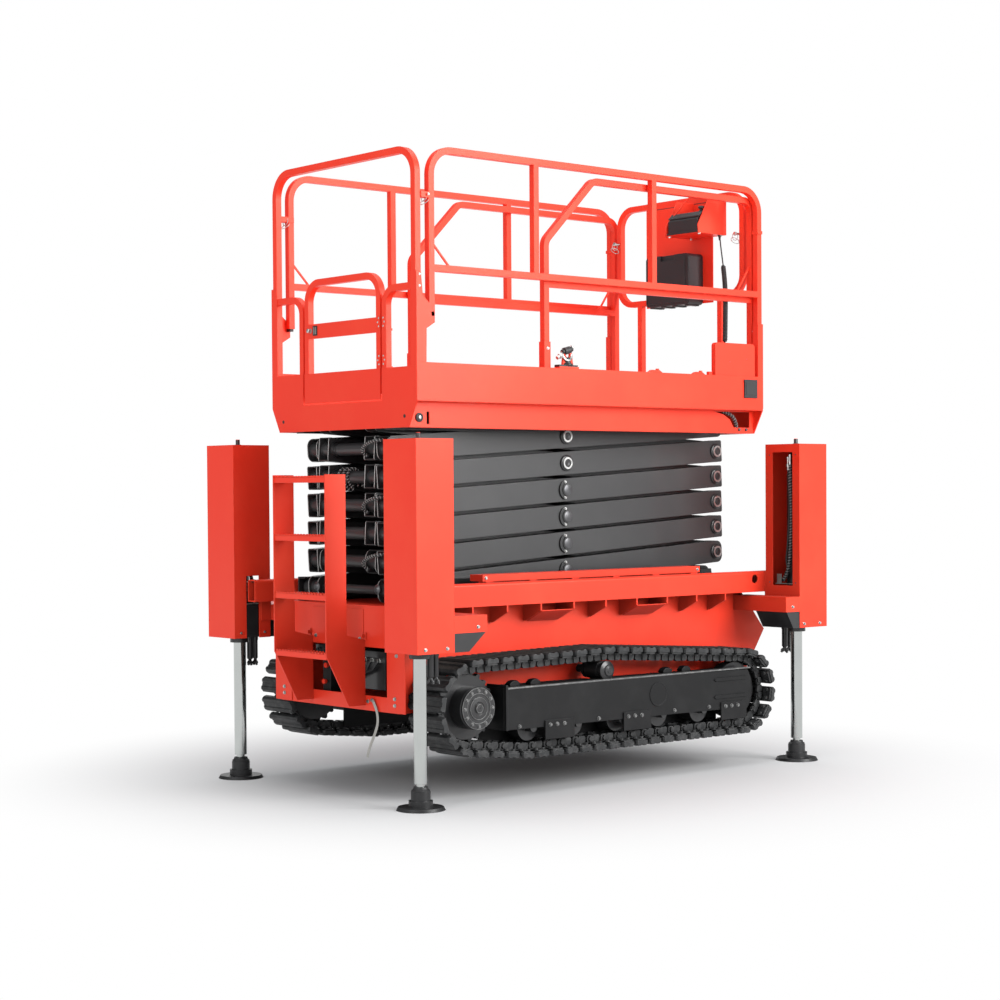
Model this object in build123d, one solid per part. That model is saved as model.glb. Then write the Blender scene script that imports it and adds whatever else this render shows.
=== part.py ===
"""Crawler scissor lift on four hydraulic legs.

+X is forward (the control end), +Y is left, +Z is up, and Z = 0 is the floor under the foot pads.
The machine is drawn about the middle of its four legs and saved about the middle of its outline.
"""
from build123d import *
from math import asin, atan2, cos, degrees, hypot, pi, radians, sin, sqrt, tan
import os

# ---------------------------------------------------------------- driving dimensions, millimetres

RUN = 0.05              # running clearance of a pin or rod in its hole, on the radius
SEAT = 0.3              # gap under a piece that slides or rests on another body

# legs
LEG_X = 1190            # leg centres, fore and aft
LEG_Y = 683             # leg centres, to each side
HOUSING_LENGTH = 200    # along X
HOUSING_WIDTH = 222     # along Y
HOUSING_BOTTOM = 665
HOUSING_TOP = 1565
HOUSING_WALL = 5
ROD_RADIUS = 29
ROD_TOP = 820
BARREL_RADIUS = 45
BARREL_BORE = 36
BARREL_BOTTOM = 640
BARREL_TOP = 1420
GLAND_HEIGHT = 40
PAD_RADIUS = 105
PAD_THICKNESS = 14

# tracks
TRACK_OUTER_Y = 680
SHOE_WIDTH = 230
SHOE_THICKNESS = 24
SHOE_COUNT = 52
SHOE_FILL = 0.80        # share of the pitch that a shoe covers
CHAIN_WIDTH = 120
CHAIN_THICKNESS = 46
SPROCKET_X = -862
SPROCKET_Z = 404
SPROCKET_TIP = 213      # sprocket centre to the shoes' outer faces
IDLER_X = 833
IDLER_Z = 366
IDLER_TIP = 206
CARRIER_X = -60
CARRIER_RADIUS = 42
TRACK_LOW_Z = 160       # underside of the lower run
TRACK_TOP_Z = 630       # upper run over the carrier roller
TRACK_FRAME_REAR = -700
TRACK_FRAME_FRONT = 890
TRACK_FRAME_LOW = 285
TRACK_FRAME_HIGH = 480
TRACK_FRAME_OUTER_Y = 655
TRACK_FRAME_WIDTH = 150
ROLLER_RADIUS = 60
ROLLER_COUNT = 5
HUB_RADIUS = 80

# chassis
BODY_REAR = -1115
BODY_FRONT = 1045        # where the nose meets the deck
BODY_TIP = (1215, 640)
BODY_LOW = 380
BODY_TOP = 836
BODY_HALF = 445
DECK_FRONT = 1090
BODY_WALL = 6
BEAM_HALF = 565
BEAM_WIDTH = 60
BEAM_TOP = 938
DECK_THICKNESS = 8
REAR_OPENING_HALF = 361
REAR_OPENING_LOW = 446
REAR_OPENING_HIGH = 660
BEAM_WALL = 6
BEAM_ROUND = 12
TIE_HOLE_X = 1018       # lashing holes near the beams' ends
TIE_HOLE_RADIUS = 21
BRACKET_REACH = {1: 100, -1: 180}  # length inboard of the housing, front and rear
BRACKET_PLATE = {1: 130, -1: 56}   # length of the plate beside the housing
VALVE_GAP = (-33, 38)              # cut-out of a rear housing's inner face, from the leg's axis
BRACKET_LOW = 745
BRACKET_HIGH = 818
GUSSET_DROP = 80
RIB_COUNT = 9
RIB_REAR = -798
RIB_PITCH = 200.6
RIB_LIP = 31            # height of a rib under the beam
RIB_DROP = 81           # height of a rib at the hull
GUARD_END = 690         # guard bars over the side beams
GUARD_WIDTH = 88
GUARD_HEIGHT = 30
GUARD_GAP = 4
GUARD_OUTER_Y = 505

# ladder
LADDER_DEPTH = 210      # from the hull's rear to the ladder's rear, at least
LADDER_REACH = 303      # and from the rear pin of a level arm, at least
LADDER_KICK = 120       # how far the stiles are drawn in at the foot
LADDER_SHOULDER = 630
LADDER_HALF = 200
LADDER_PLATE = 6
LADDER_STILE = 110
LADDER_TOP = 1421
LADDER_BOTTOM = 402
RUNG_BOTTOM = 636
RUNG_PITCH = 258
RUNG_COUNT = 4
RUNG_DEPTH = 60
RUNG_HEIGHT = 24

# scissor stack
STAGES = 6
ARM_LENGTH = 2040       # pin to pin
FOLDED_PITCH = 126      # height of one folded stage
ARM_HEIGHT = 108
ARM_WIDTH = 76
ARM_WALL = 5
ARM_END = 43            # from the end pin to the arm's end
ARM_ROUND = 34          # corner radius of the end of an arm that turns beside a deck
ARM_CORNER = 8          # and of the arms between
INNER_ARM_Y = 173       # arm centres
OUTER_ARM_Y = 263
BASE_PIVOT_Z = 906
FRONT_PIN_X = 1018
PIN_RADIUS = 20
BOSS_RADIUS = 34
CROSS_RADIUS = 28
PIN_HEAD_RADIUS = 30
PIN_HEAD = 12
ROLLER_X_RADIUS = 38
ROLLER_X_WIDTH = 40
CHANNEL_WALL = 8
CHANNEL_PLAY = 1.5
LIFT_ANGLE = 50         # arm angle fully raised, degrees

# lift cylinders, each from one inner frame's middle to the next inner frame's front
CYLINDER_STAGES = (2, 4)
BARREL_EYE = (104, -75) # along and square to the arm, from its middle
ROD_EYE = (930, 75)
LIFT_BARREL_RADIUS = 42
LIFT_ROD_RADIUS = 25
LIFT_BARREL_REST = 690  # from the barrel's eye to its gland
EAR_GAP = 46            # half the gap between a pair of ears
EAR_THICKNESS = 12
EYE_RADIUS = 34
EYE_PIN_RADIUS = 15

# platform
PLATFORM_REAR = -1085
PLATFORM_FRONT = 1096
EXTENSION_FRONT = 1101
PLATFORM_HALF = 546
SKIRT_HALF = 488
SKIRT_WIDTH = 45
PLATFORM_LOW = 1621
TOE_LOW = 1733
TOE_TOP = 1900
REAR_TOE_TOP = 1884
REAR_SHEET = 3
DECK_Z = 1742
PLATE = 6
RAIL_TUBE = 30
RAIL_TOP = 2834
RAIL_CORNER = 110
MID_RAIL_Z = 2308
SIDE_RAIL_REAR = -994
SIDE_RAIL_FRONT = 1086
SIDE_RAIL_LOW = 2110    # the rear post ends in its bracket's ear
SIDE_POSTS = (-390, 355)
BRACE = 8
SLEEVE_TOP = 2162
EAR_TOP = 2290
EXT_RAIL_Y = 487
EXT_RAIL_REAR = -297
EXT_RAIL_FRONT = 1080
EXT_MID_Z = 2284
EXT_RAIL_TOP = 2788
EXT_DIAGONAL_X = 0
EXT_DIAGONAL_Z = 2477
REAR_RAIL_X = -1067
REAR_RAIL_HALF = 521
GATE_HALF = 285
GATE_TOP = 2311
GATE_GAP = 12           # from the gate's tube to the posts beside it
GATE_PIN_RADIUS = 6
GATE_SLEEVE_RADIUS = 10
GATE_HINGES = (1920, 2086)
GATE_HINGE_LENGTH = 50
QUARTER_Z = 2229
EXT_DECK_REAR = -330
EXT_DECK_HALF = 502
EXT_DECK_RISE = 6
FRONT_RAIL_X = 1080
FRONT_LOOP_HALF = 454
FRONT_LOOP_LOW = 2305
FRONT_POST_Y = 286
PLATE_BACK_X = 1061     # rear face of the sheet that carries the controls
PLATE_DROP = 329        # from the control shelf down to that sheet's lower edge
SHELF_DROP = 215        # from the rails' top down to the control shelf
SHELF_REAR = 866
SHELF_SHEET = 4
HOOD_HEIGHT = 181
CASE_DROP = 208         # from the control shelf down to the document case's middle
CASE_HEIGHT = 258
CASE_WIDTH = 308
CASE_Y = -24
ANCHOR_X = -200
ANCHOR_Z = 1962
COVER_TOP = 2060

# cords: the coiled control lead and the braided earth strap
LEAD_RADIUS = 13        # outside of the coils
LEAD_ROUTE = [
    # x, y, z
    (1032, -322, 2619),
    (1029, -332, 2560),
    (1012, -360, 2490),
    (985, -398, 2400),
    (952, -436, 2310),
    (910, -474, 2215),
    (868, -512, 2130),
    (850, -527, 2060),
]
STRAP_WIDTH = 16
STRAP_THICKNESS = 3
STRAP_ROUTE = [
    # y, z
    (-262, 429),
    (-290, 396),
    (-304, 335),
    (-275, 276),
    (-237, 215),
    (-222, 174),
]
STRAP_BOLT = 7          # height of the boss that the strap hangs from

# ---------------------------------------------------------------- sizes that follow

PAD_FRONT = LEG_X + PAD_RADIUS
LADDER_REAR = min(BODY_REAR - LADDER_DEPTH, FRONT_PIN_X - ARM_LENGTH - LADDER_REACH)
SHELF_Z = RAIL_TOP - SHELF_DROP
CENTRE_X = (LADDER_REAR + PAD_FRONT) / 2
FOLDED_ANGLE = degrees(asin(FOLDED_PITCH / ARM_LENGTH))
FOLDED_RUN = sqrt(ARM_LENGTH ** 2 - FOLDED_PITCH ** 2)
REAR_PIN_X = FRONT_PIN_X - FOLDED_RUN
MIDDLE_PIN_X = FRONT_PIN_X - FOLDED_RUN / 2
TOP_PIVOT_Z = BASE_PIVOT_Z + STAGES * FOLDED_PITCH
RAISED_REAR_PIN_X = FRONT_PIN_X - ARM_LENGTH * cos(radians(LIFT_ANGLE))
TRACK_Y = TRACK_OUTER_Y - SHOE_WIDTH / 2
SIDE_RAIL_Y = PLATFORM_HALF - PLATE - RAIL_TUBE / 2
CARRIER_Z = TRACK_TOP_Z - SHOE_THICKNESS - CHAIN_THICKNESS - CARRIER_RADIUS
INNER_FACE = INNER_ARM_Y + ARM_WIDTH / 2
OUTER_FACE = OUTER_ARM_Y + ARM_WIDTH / 2
ROD_HOLE = ROD_RADIUS + RUN
HOUSING_INNER_Y = LEG_Y - HOUSING_WIDTH / 2
HOUSING_OUTER_Y = LEG_Y + HOUSING_WIDTH / 2
GATE_AXIS_X = REAR_RAIL_X + RAIL_TUBE / 2 + GATE_SLEEVE_RADIUS
GATE_AXIS_Y = -(GATE_HALF + GATE_GAP / 2)

SIDES = {"left": 1, "right": -1}
LEGS = {"front_left": (1, 1), "front_right": (1, -1), "rear_left": (-1, 1), "rear_right": (-1, -1)}

os.makedirs("parts", exist_ok=True)


def save(name, shape):
    export_step(Pos(-CENTRE_X, 0, 0) * shape, f"parts/{name}.step")


def box(x0, x1, y0, y1, z0, z1):
    """A block between two corners."""
    size = (abs(x1 - x0), abs(y1 - y0), abs(z1 - z0))
    return Pos((x0 + x1) / 2, (y0 + y1) / 2, (z0 + z1) / 2) * Box(*size)


def upright(radius, z0, z1, x=0, y=0):
    """A vertical round bar."""
    return Pos(x, y, (z0 + z1) / 2) * Cylinder(radius, z1 - z0)


def cross(radius, y0, y1, x, z):
    """A round bar that lies across the machine."""
    return Pos(x, (y0 + y1) / 2, z) * Rot(90, 0, 0) * Cylinder(radius, abs(y1 - y0))


def side_plate(points, y0, y1, holes=()):
    """A plate drawn in X and Z, with a thickness from y0 to y1; a hole is (x, z, radius)."""
    face = make_face(Polyline(*points, close=True))
    for x, z, radius in holes:
        face -= Pos(x, z) * Circle(radius)
    return extrude_across(face, y0, y1)


def extrude_across(sketch, y0, y1):
    """Extrude a sketch whose axes are X and Z across the machine, from y0 to y1."""
    solid = extrude(sketch, abs(y1 - y0))
    return Pos(0, max(y0, y1), 0) * Rot(90, 0, 0) * solid


def extrude_along(sketch, x0, x1):
    """Extrude a sketch whose axes are Y and Z along the machine, from x0 to x1."""
    solid = extrude(sketch, abs(x1 - x0))
    return Pos(min(x0, x1), 0, 0) * Plane.YZ.location * solid


def band(points, radius, width):
    """A flat strip of one width along a bent line, its corners rounded at the middle line."""
    line = Polyline(*points)
    line = fillet(line.vertices()[1:-1], radius) if len(points) > 2 else line
    return trace(line, width)


def mirrored(shape):
    return mirror(shape, about=Plane.XZ)


def hull(inset, low=BODY_LOW, top=BODY_TOP):
    """The hull's outline in X and Z, its nose drawn to a blunt point, pulled in by an inset."""
    tip_x, tip_z = BODY_TIP
    outline = [(BODY_REAR, low), (1033, low), (1153, 548), (tip_x, tip_z), (1134, 736), (BODY_FRONT, top),
               (BODY_REAR, top)]
    face = make_face(Polyline(*outline, close=True))
    if inset:
        face = offset(face, -inset, kind=Kind.INTERSECTION)
    return extrude_across(face, -BODY_HALF + inset, BODY_HALF - inset)


# ---------------------------------------------------------------- legs

def leg_housing(front, side):
    """A folded sheet box; its long window faces the middle of the machine."""
    half_x = HOUSING_LENGTH / 2
    half_y = HOUSING_WIDTH / 2
    outer = box(-half_x, half_x, -half_y, half_y, HOUSING_BOTTOM, HOUSING_TOP)
    wall = HOUSING_WALL
    inner = box(-half_x + wall, half_x - wall, -half_y + wall, half_y - wall,
                HOUSING_BOTTOM - wall, HOUSING_TOP - wall)
    window = box(-front * (half_x + 1), -front * (half_x - wall - 1), -65, 65, 870, 1525)
    side_gap = box(-front * 10, -front * (half_x - 35), -side * (half_y + 1), -side * (half_y - wall - 1),
                   HOUSING_BOTTOM - 1, BRACKET_LOW - 20)
    if front < 0:
        side_gap = box(*VALVE_GAP, -side * (half_y + 1), -side * (half_y - wall - 1),
                       HOUSING_BOTTOM - 1, BEAM_TOP + 17)
    stud = upright(9, HOUSING_TOP, HOUSING_TOP + 28)
    return outer - inner - window - side_gap + stud


def leg_barrel():
    """The leg's hydraulic barrel, hung from the housing's roof, with a gland at its foot."""
    barrel = upright(BARREL_RADIUS, BARREL_BOTTOM, BARREL_TOP)
    barrel -= upright(BARREL_BORE, BARREL_BOTTOM + GLAND_HEIGHT, BARREL_TOP - 20)
    barrel -= upright(ROD_HOLE, BARREL_BOTTOM - 1, BARREL_BOTTOM + GLAND_HEIGHT + 1)
    hanger = box(-30, 30, -12, 12, BARREL_TOP, HOUSING_TOP - HOUSING_WALL)
    shelf_half = (HOUSING_LENGTH / 2 - HOUSING_WALL, HOUSING_WIDTH / 2 - HOUSING_WALL)
    shelf = box(-shelf_half[0], shelf_half[0], -shelf_half[1], shelf_half[1], 668, 680)
    shelf -= upright(BARREL_RADIUS - 1, 667, 681)
    return barrel + hanger + shelf


def leg_rod():
    piston = upright(BARREL_BORE - RUN, ROD_TOP - 30, ROD_TOP)
    neck = upright(19, 88, 110)
    return upright(ROD_RADIUS, 110, ROD_TOP) + piston + neck + Pos(0, 0, 66) * Sphere(30)


def foot_pad():
    """A round plate with a stepped socket that holds the rod's ball."""
    plate = Cone(PAD_RADIUS, PAD_RADIUS - 8, PAD_THICKNESS)
    plate = Pos(0, 0, PAD_THICKNESS / 2) * plate
    socket = upright(52, PAD_THICKNESS, 40) + upright(42, 40, 78)
    return plate + socket - Pos(0, 0, 66) * Sphere(30.0) - upright(24, 66, 90)


def leg_bracket(front, side):
    """The box beam that ties a leg to the hull, and the plate that bolts its housing to the side beam."""
    end = LEG_X - HOUSING_LENGTH / 2
    inner = end - BRACKET_REACH[front]
    arm = box(front * inner, front * end, side * BODY_HALF, side * HOUSING_OUTER_Y,
              BRACKET_LOW, BRACKET_HIGH)
    reach = BRACKET_PLATE[front]
    plate = box(front * end, front * (end + reach), side * BEAM_HALF, side * HOUSING_INNER_Y,
                BRACKET_LOW, BEAM_TOP)
    return arm + plate


def leg_gusset(front, side):
    """The black box under a bracket, tapered down to the housing."""
    end = LEG_X - HOUSING_LENGTH / 2
    inner = end - BRACKET_REACH[front]
    low = BRACKET_LOW - GUSSET_DROP
    points = [(front * (inner + 6), BRACKET_LOW), (front * end, BRACKET_LOW), (front * end, low),
              (front * (end - BRACKET_REACH[front] * 0.45), low)]
    return side_plate(points, side * (HOUSING_INNER_Y + 20), side * (HOUSING_OUTER_Y - 2))


for name, (front, side) in LEGS.items():
    place = Pos(front * LEG_X, side * LEG_Y, 0)
    save(f"leg_housing_{name}", place * leg_housing(front, side))
    save(f"leg_rod_{name}", place * leg_rod())
    save(f"foot_pad_{name}", place * foot_pad())
save("leg_barrels", Compound([Pos(f * LEG_X, s * LEG_Y, 0) * leg_barrel() for f, s in LEGS.values()]))
save("leg_brackets", Compound([leg_bracket(f, s) for f, s in LEGS.values()]))
save("leg_gussets", Compound([leg_gusset(f, s) for f, s in LEGS.values()]))

# ---------------------------------------------------------------- tracks

def track_corners(inset):
    """Wheel centres and radii that a line inset from the shoes' outer faces wraps around."""
    return [
        # x, z, radius
        (SPROCKET_X, SPROCKET_Z, SPROCKET_TIP - inset),
        (-560, TRACK_LOW_Z + 60, 60 - inset),
        (620, TRACK_LOW_Z + 60, 60 - inset),
        (IDLER_X, IDLER_Z, IDLER_TIP - inset),
        (CARRIER_X, TRACK_TOP_Z - 100, 100 - inset),
    ]


def belt(circles):
    """Tangent points of a belt around circles taken anticlockwise from the rear, seen from the right."""
    stretches = []
    for (x0, z0, r0), (x1, z1, r1) in zip(circles, circles[1:] + circles[:1]):
        run = hypot(x1 - x0, z1 - z0)
        heading = atan2(z1 - z0, x1 - x0)
        lean = asin((r0 - r1) / run)
        normal = heading - pi / 2 + lean
        stretches.append(((x0 + r0 * cos(normal), z0 + r0 * sin(normal)),
                          (x1 + r1 * cos(normal), z1 + r1 * sin(normal)), normal))
    return stretches


def belt_path(circles):
    """The belt as (start, end, centre, radius, angles): straight pieces and arcs in turn."""
    stretches = belt(circles)
    path = []
    for index, (start, end, normal) in enumerate(stretches):
        x, z, radius = circles[(index + 1) % len(circles)]
        following = stretches[(index + 1) % len(stretches)][2]
        turn = (following - normal + pi) % (2 * pi) - pi
        path.append(("line", start, end, hypot(end[0] - start[0], end[1] - start[1])))
        path.append(("arc", (x, z, radius), (normal, turn), abs(turn) * radius))
    return path


def along(path, distance):
    """Point and outward direction at a distance along a belt."""
    total = sum(piece[3] for piece in path)
    distance %= total
    for kind, a, b, length in path:
        if distance > length:
            distance -= length
            continue
        if kind == "line":
            share = distance / length
            heading = atan2(b[1] - a[1], b[0] - a[0])
            return a[0] + (b[0] - a[0]) * share, a[1] + (b[1] - a[1]) * share, heading - pi / 2
        angle = b[0] + b[1] * distance / length
        return a[0] + a[2] * cos(angle), a[1] + a[2] * sin(angle), angle
    return along(path, 0)


def belt_face(circles):
    """The closed face inside a belt."""
    edges = []
    for kind, a, b, length in belt_path(circles):
        if kind == "line":
            edges.append(Line(a, b))
        elif length > 1e-6:
            x, z, radius = a
            start, turn = b
            edges.append(CenterArc((x, z), radius, degrees(start), degrees(turn)))
    return make_face(edges)


def track():
    """One loop: a chain band inside, with a bolted shoe on each link."""
    chain_line = track_corners(SHOE_THICKNESS)
    inner_line = track_corners(SHOE_THICKNESS + CHAIN_THICKNESS)
    inner_line = [(x, z, max(r, 8)) for x, z, r in inner_line]
    band_face = belt_face(chain_line) - belt_face(inner_line)
    loop = extrude_across(band_face, -CHAIN_WIDTH / 2, CHAIN_WIDTH / 2)
    path = belt_path(chain_line)
    total = sum(piece[3] for piece in path)
    pitch = total / SHOE_COUNT
    half = pitch * SHOE_FILL / 2
    shoes = []
    for index in range(SHOE_COUNT):
        x, z, angle = along(path, (index + 0.5) * pitch)
        profile = [(-half, -6), (half, -6), (half, SHOE_THICKNESS - 9), (half - 12, SHOE_THICKNESS),
                   (-half + 12, SHOE_THICKNESS), (-half, SHOE_THICKNESS - 9)]
        face = make_face(Polyline(*profile, close=True))
        shoe = extrude_across(face, -SHOE_WIDTH / 2, SHOE_WIDTH / 2)
        shoes.append(Pos(x, 0, z) * Rot(0, 90 - degrees(angle), 0) * shoe)
    return loop.fuse(*shoes)


def track_frame(side):
    """The beam that carries the rollers, open below, with guard plates on its outer side."""
    y_out = TRACK_FRAME_OUTER_Y
    y_in = y_out - TRACK_FRAME_WIDTH
    points = [(TRACK_FRAME_REAR, TRACK_FRAME_LOW + 8), (TRACK_FRAME_REAR, TRACK_FRAME_HIGH),
              (TRACK_FRAME_FRONT - 25, TRACK_FRAME_HIGH - 12), (TRACK_FRAME_FRONT, TRACK_FRAME_HIGH - 60),
              (TRACK_FRAME_FRONT, TRACK_FRAME_LOW + 60), (TRACK_FRAME_FRONT - 25, TRACK_FRAME_LOW)]
    beam = side_plate(points, y_in, y_out)
    hollow = [(TRACK_FRAME_REAR + 8, TRACK_FRAME_LOW - 9), (TRACK_FRAME_REAR + 8, TRACK_FRAME_HIGH - 8),
              (TRACK_FRAME_FRONT - 20, TRACK_FRAME_HIGH - 20), (TRACK_FRAME_FRONT - 20, TRACK_FRAME_LOW - 9)]
    beam -= side_plate(hollow, y_in + 8, y_out - 8)
    for x in (-375, 110, 760):
        beam += box(x - 88, x + 88, y_out, y_out + 8, 235, 320)
    slot = TRACK_Y - 36, TRACK_Y + 36
    beam -= box(IDLER_X - 150, TRACK_FRAME_FRONT + 1, *slot, TRACK_FRAME_LOW - 10, TRACK_FRAME_HIGH + 1)
    beam -= cross(CARRIER_RADIUS + 6, y_in - 1, y_out + 1, CARRIER_X, CARRIER_Z)
    ties = [box(x - 45, x + 45, BODY_HALF, y_in + 4, 385, 455) for x in (-480, 480)]
    shape = beam.fuse(*ties)
    return shape if side > 0 else mirrored(shape)


def track_wheels(side):
    """Sprocket with its hub cover, idler, carrier roller and track rollers."""
    y = TRACK_Y
    y_out = TRACK_FRAME_OUTER_Y
    y_in = y_out - TRACK_FRAME_WIDTH
    inner_radius = SPROCKET_TIP - SHOE_THICKNESS - CHAIN_THICKNESS
    solids = [cross(inner_radius - 1, y - 25, y + 25, SPROCKET_X, SPROCKET_Z)
              + cross(HUB_RADIUS, y + 25, y + 100, SPROCKET_X, SPROCKET_Z)
              + cross(70, BODY_HALF, y - 25, SPROCKET_X, SPROCKET_Z)]
    idler_radius = IDLER_TIP - SHOE_THICKNESS - CHAIN_THICKNESS
    solids.append(cross(idler_radius - 1, y - 28, y + 28, IDLER_X, IDLER_Z)
                  + cross(24, y_in + 8, y_out - 8, IDLER_X, IDLER_Z))
    solids.append(cross(CARRIER_RADIUS - 0.5, y - 40, y + 40, CARRIER_X, CARRIER_Z)
                  + cross(18, BODY_HALF, y + 70, CARRIER_X, CARRIER_Z))
    low = TRACK_LOW_Z + SHOE_THICKNESS + CHAIN_THICKNESS
    for index in range(ROLLER_COUNT):
        x = -520 + index * 1090 / (ROLLER_COUNT - 1)
        solids.append(cross(ROLLER_RADIUS - 0.5, y - 40, y + 40, x, low + ROLLER_RADIUS)
                      + cross(18, y_in + 8, y_out - 8, x, low + ROLLER_RADIUS))
    shape = Compound(solids)
    return shape if side > 0 else mirrored(shape)


TRACK_LOOP = track()
for name, side in SIDES.items():
    save(f"track_{name}", Pos(0, side * TRACK_Y, 0) * TRACK_LOOP)
    save(f"track_frame_{name}", track_frame(side))
    save(f"track_wheels_{name}", track_wheels(side))

# ---------------------------------------------------------------- chassis

def chassis_body():
    """The folded hull between the tracks: upright sides, a pointed nose and an opening at the rear."""
    shell = hull(0) - hull(BODY_WALL)
    shell -= box(BODY_REAR - 1, BODY_REAR + BODY_WALL + 1, -REAR_OPENING_HALF, REAR_OPENING_HALF,
                 REAR_OPENING_LOW, REAR_OPENING_HIGH)
    boss = Pos(*STRAP_ROUTE[0]) * Circle(11)
    return shell + extrude_along(boss, BODY_REAR - STRAP_BOLT, BODY_REAR)


def earth_strap():
    """The flat braid that hangs behind the hull."""
    outer = BODY_REAR - STRAP_BOLT
    return extrude_along(band(STRAP_ROUTE, 55, STRAP_WIDTH), outer - STRAP_THICKNESS, outer)


def side_beam(side):
    """A hollow beam along the deck's edge, with a lashing hole near each end."""
    end = LEG_X - HOUSING_LENGTH / 2 + 130
    inner = side * (BEAM_HALF - BEAM_WIDTH)
    w = BEAM_WALL
    beam = box(-end, end, inner, side * BEAM_HALF, BODY_TOP, BEAM_TOP)
    beam = fillet(beam.edges().filter_by(Axis.X).group_by(Axis.Z)[-1], BEAM_ROUND)
    beam -= box(-end - 1, end + 1, inner + side * w, side * (BEAM_HALF - w), BODY_TOP + w, BEAM_TOP - w)
    for x in (-TIE_HOLE_X, TIE_HOLE_X):
        beam -= cross(TIE_HOLE_RADIUS, side * (BEAM_HALF - w - 4), side * (BEAM_HALF + 1), x, BEAM_TOP - 38)
    return beam


def chassis_deck():
    """The deck plate with its two side beams, guard bars, and ribs under each beam."""
    z = BODY_TOP
    deck = box(BODY_REAR, DECK_FRONT, -BEAM_HALF + BEAM_WIDTH, BEAM_HALF - BEAM_WIDTH, z, z + DECK_THICKNESS)
    solids = []
    for side in (1, -1):
        solids.append(side_beam(side))
        for index in range(RIB_COUNT):
            x = RIB_REAR + index * RIB_PITCH
            rib = [(side * BEAM_HALF, z), (side * BEAM_HALF, z - RIB_LIP), (side * (BODY_HALF + 16), z - RIB_DROP),
                   (side * BODY_HALF, z - RIB_DROP), (side * BODY_HALF, z)]
            solids.append(extrude_along(make_face(Polyline(*rib, close=True)), x - 4, x + 4))
        outer = side * GUARD_OUTER_Y
        low = BEAM_TOP + GUARD_GAP
        solids.append(box(-GUARD_END, GUARD_END, outer, outer - side * GUARD_WIDTH, low, low + GUARD_HEIGHT))
        solids.append(box(-GUARD_END, GUARD_END, outer - side * 20, outer - side * 28, z + DECK_THICKNESS, low))
    return deck.fuse(*solids)


def ladder():
    """Two folded stiles with serrated rungs, widening to the rear panel at the foot."""
    shapes = []
    foot_front = BODY_REAR
    for side in (1, -1):
        points = [(LADDER_REAR, LADDER_TOP), (LADDER_REAR, LADDER_SHOULDER),
                  (LADDER_REAR + LADDER_KICK, LADDER_BOTTOM), (foot_front, LADDER_BOTTOM), (foot_front, 690), (LADDER_REAR + LADDER_STILE, 715),
                  (LADDER_REAR + LADDER_STILE, LADDER_TOP)]
        inner = side * (LADDER_HALF - LADDER_PLATE)
        shapes.append(side_plate(points, inner, side * LADDER_HALF))
    for index in range(RUNG_COUNT):
        z = RUNG_BOTTOM + index * RUNG_PITCH
        half = LADDER_HALF - LADDER_PLATE
        shapes.append(box(LADDER_REAR + 4, LADDER_REAR + 4 + RUNG_DEPTH, -half, half, z - RUNG_HEIGHT, z))
    return shapes[0].fuse(*shapes[1:])


def channel(y_web, inward, z, x0, x1, half_height, depth):
    """A C-channel whose open side faces inward, around a roller line at height z."""
    t = CHANNEL_WALL
    outer = box(x0, x1, y_web, y_web + inward * (depth + t), z - half_height - t, z + half_height + t)
    return outer - box(x0 - 1, x1 + 1, y_web + inward * t, y_web + inward * (depth + t + 1),
                       z - half_height, z + half_height)


WEB_Y = OUTER_FACE + 6 + ROLLER_X_WIDTH + 6 + CHANNEL_WALL
CHANNEL_HALF = ROLLER_X_RADIUS + CHANNEL_PLAY
CHANNEL_REAR = REAR_PIN_X - 60
CHANNEL_FRONT = RAISED_REAR_PIN_X + 70


def slide_channels():
    """The channels on the deck that guide the rear rollers."""
    solids = []
    for side in (1, -1):
        rail = channel(side * WEB_Y, -side, BASE_PIVOT_Z, CHANNEL_REAR, CHANNEL_FRONT,
                       CHANNEL_HALF, ROLLER_X_WIDTH + 6)
        foot = box(CHANNEL_REAR, CHANNEL_FRONT, side * (WEB_Y - 46), side * WEB_Y,
                   BODY_TOP + DECK_THICKNESS, BASE_PIVOT_Z - CHANNEL_HALF - CHANNEL_WALL)
        solids.append(rail + foot)
    return Compound(solids)


def base_pivot():
    """The front pivot on the deck: two ears and the shaft that carries the first inner arms."""
    ear_in = INNER_FACE + 6
    shapes = [cross(PIN_RADIUS, -ear_in - 14, ear_in + 14, FRONT_PIN_X, BASE_PIVOT_Z)]
    top = BODY_TOP + DECK_THICKNESS
    for side in (1, -1):
        points = [(FRONT_PIN_X - 60, top), (FRONT_PIN_X + 60, top), (FRONT_PIN_X + 38, BASE_PIVOT_Z + 38),
                  (FRONT_PIN_X - 38, BASE_PIVOT_Z + 38)]
        shapes.append(side_plate(points, side * ear_in, side * (ear_in + 14)))
    return shapes[0].fuse(*shapes[1:])


save("chassis_body", chassis_body())
save("chassis_deck", chassis_deck())
save("earth_strap", earth_strap())
save("ladder", ladder())
save("slide_channels", slide_channels())
save("base_pivot", base_pivot())

# ---------------------------------------------------------------- scissor stack

def arm(y, holes, corner):
    """One box-section arm, level, its pins on the X axis at 0 and at both ends."""
    half = ARM_LENGTH / 2 + ARM_END
    side_view = RectangleRounded(2 * half, ARM_HEIGHT, corner)
    tube = extrude_across(side_view, y - ARM_WIDTH / 2, y + ARM_WIDTH / 2)
    w = ARM_WALL
    tube -= box(-half - 1, half + 1, y - ARM_WIDTH / 2 + w, y + ARM_WIDTH / 2 - w,
                -ARM_HEIGHT / 2 + w, ARM_HEIGHT / 2 - w)
    for x in (-ARM_LENGTH / 2, 0, ARM_LENGTH / 2):
        tube += cross(BOSS_RADIUS, y - ARM_WIDTH / 2, y + ARM_WIDTH / 2, x, 0)
        if holes:
            tube -= cross(PIN_RADIUS + RUN, y - ARM_WIDTH, y + ARM_WIDTH, x, 0)
    return tube


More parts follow.
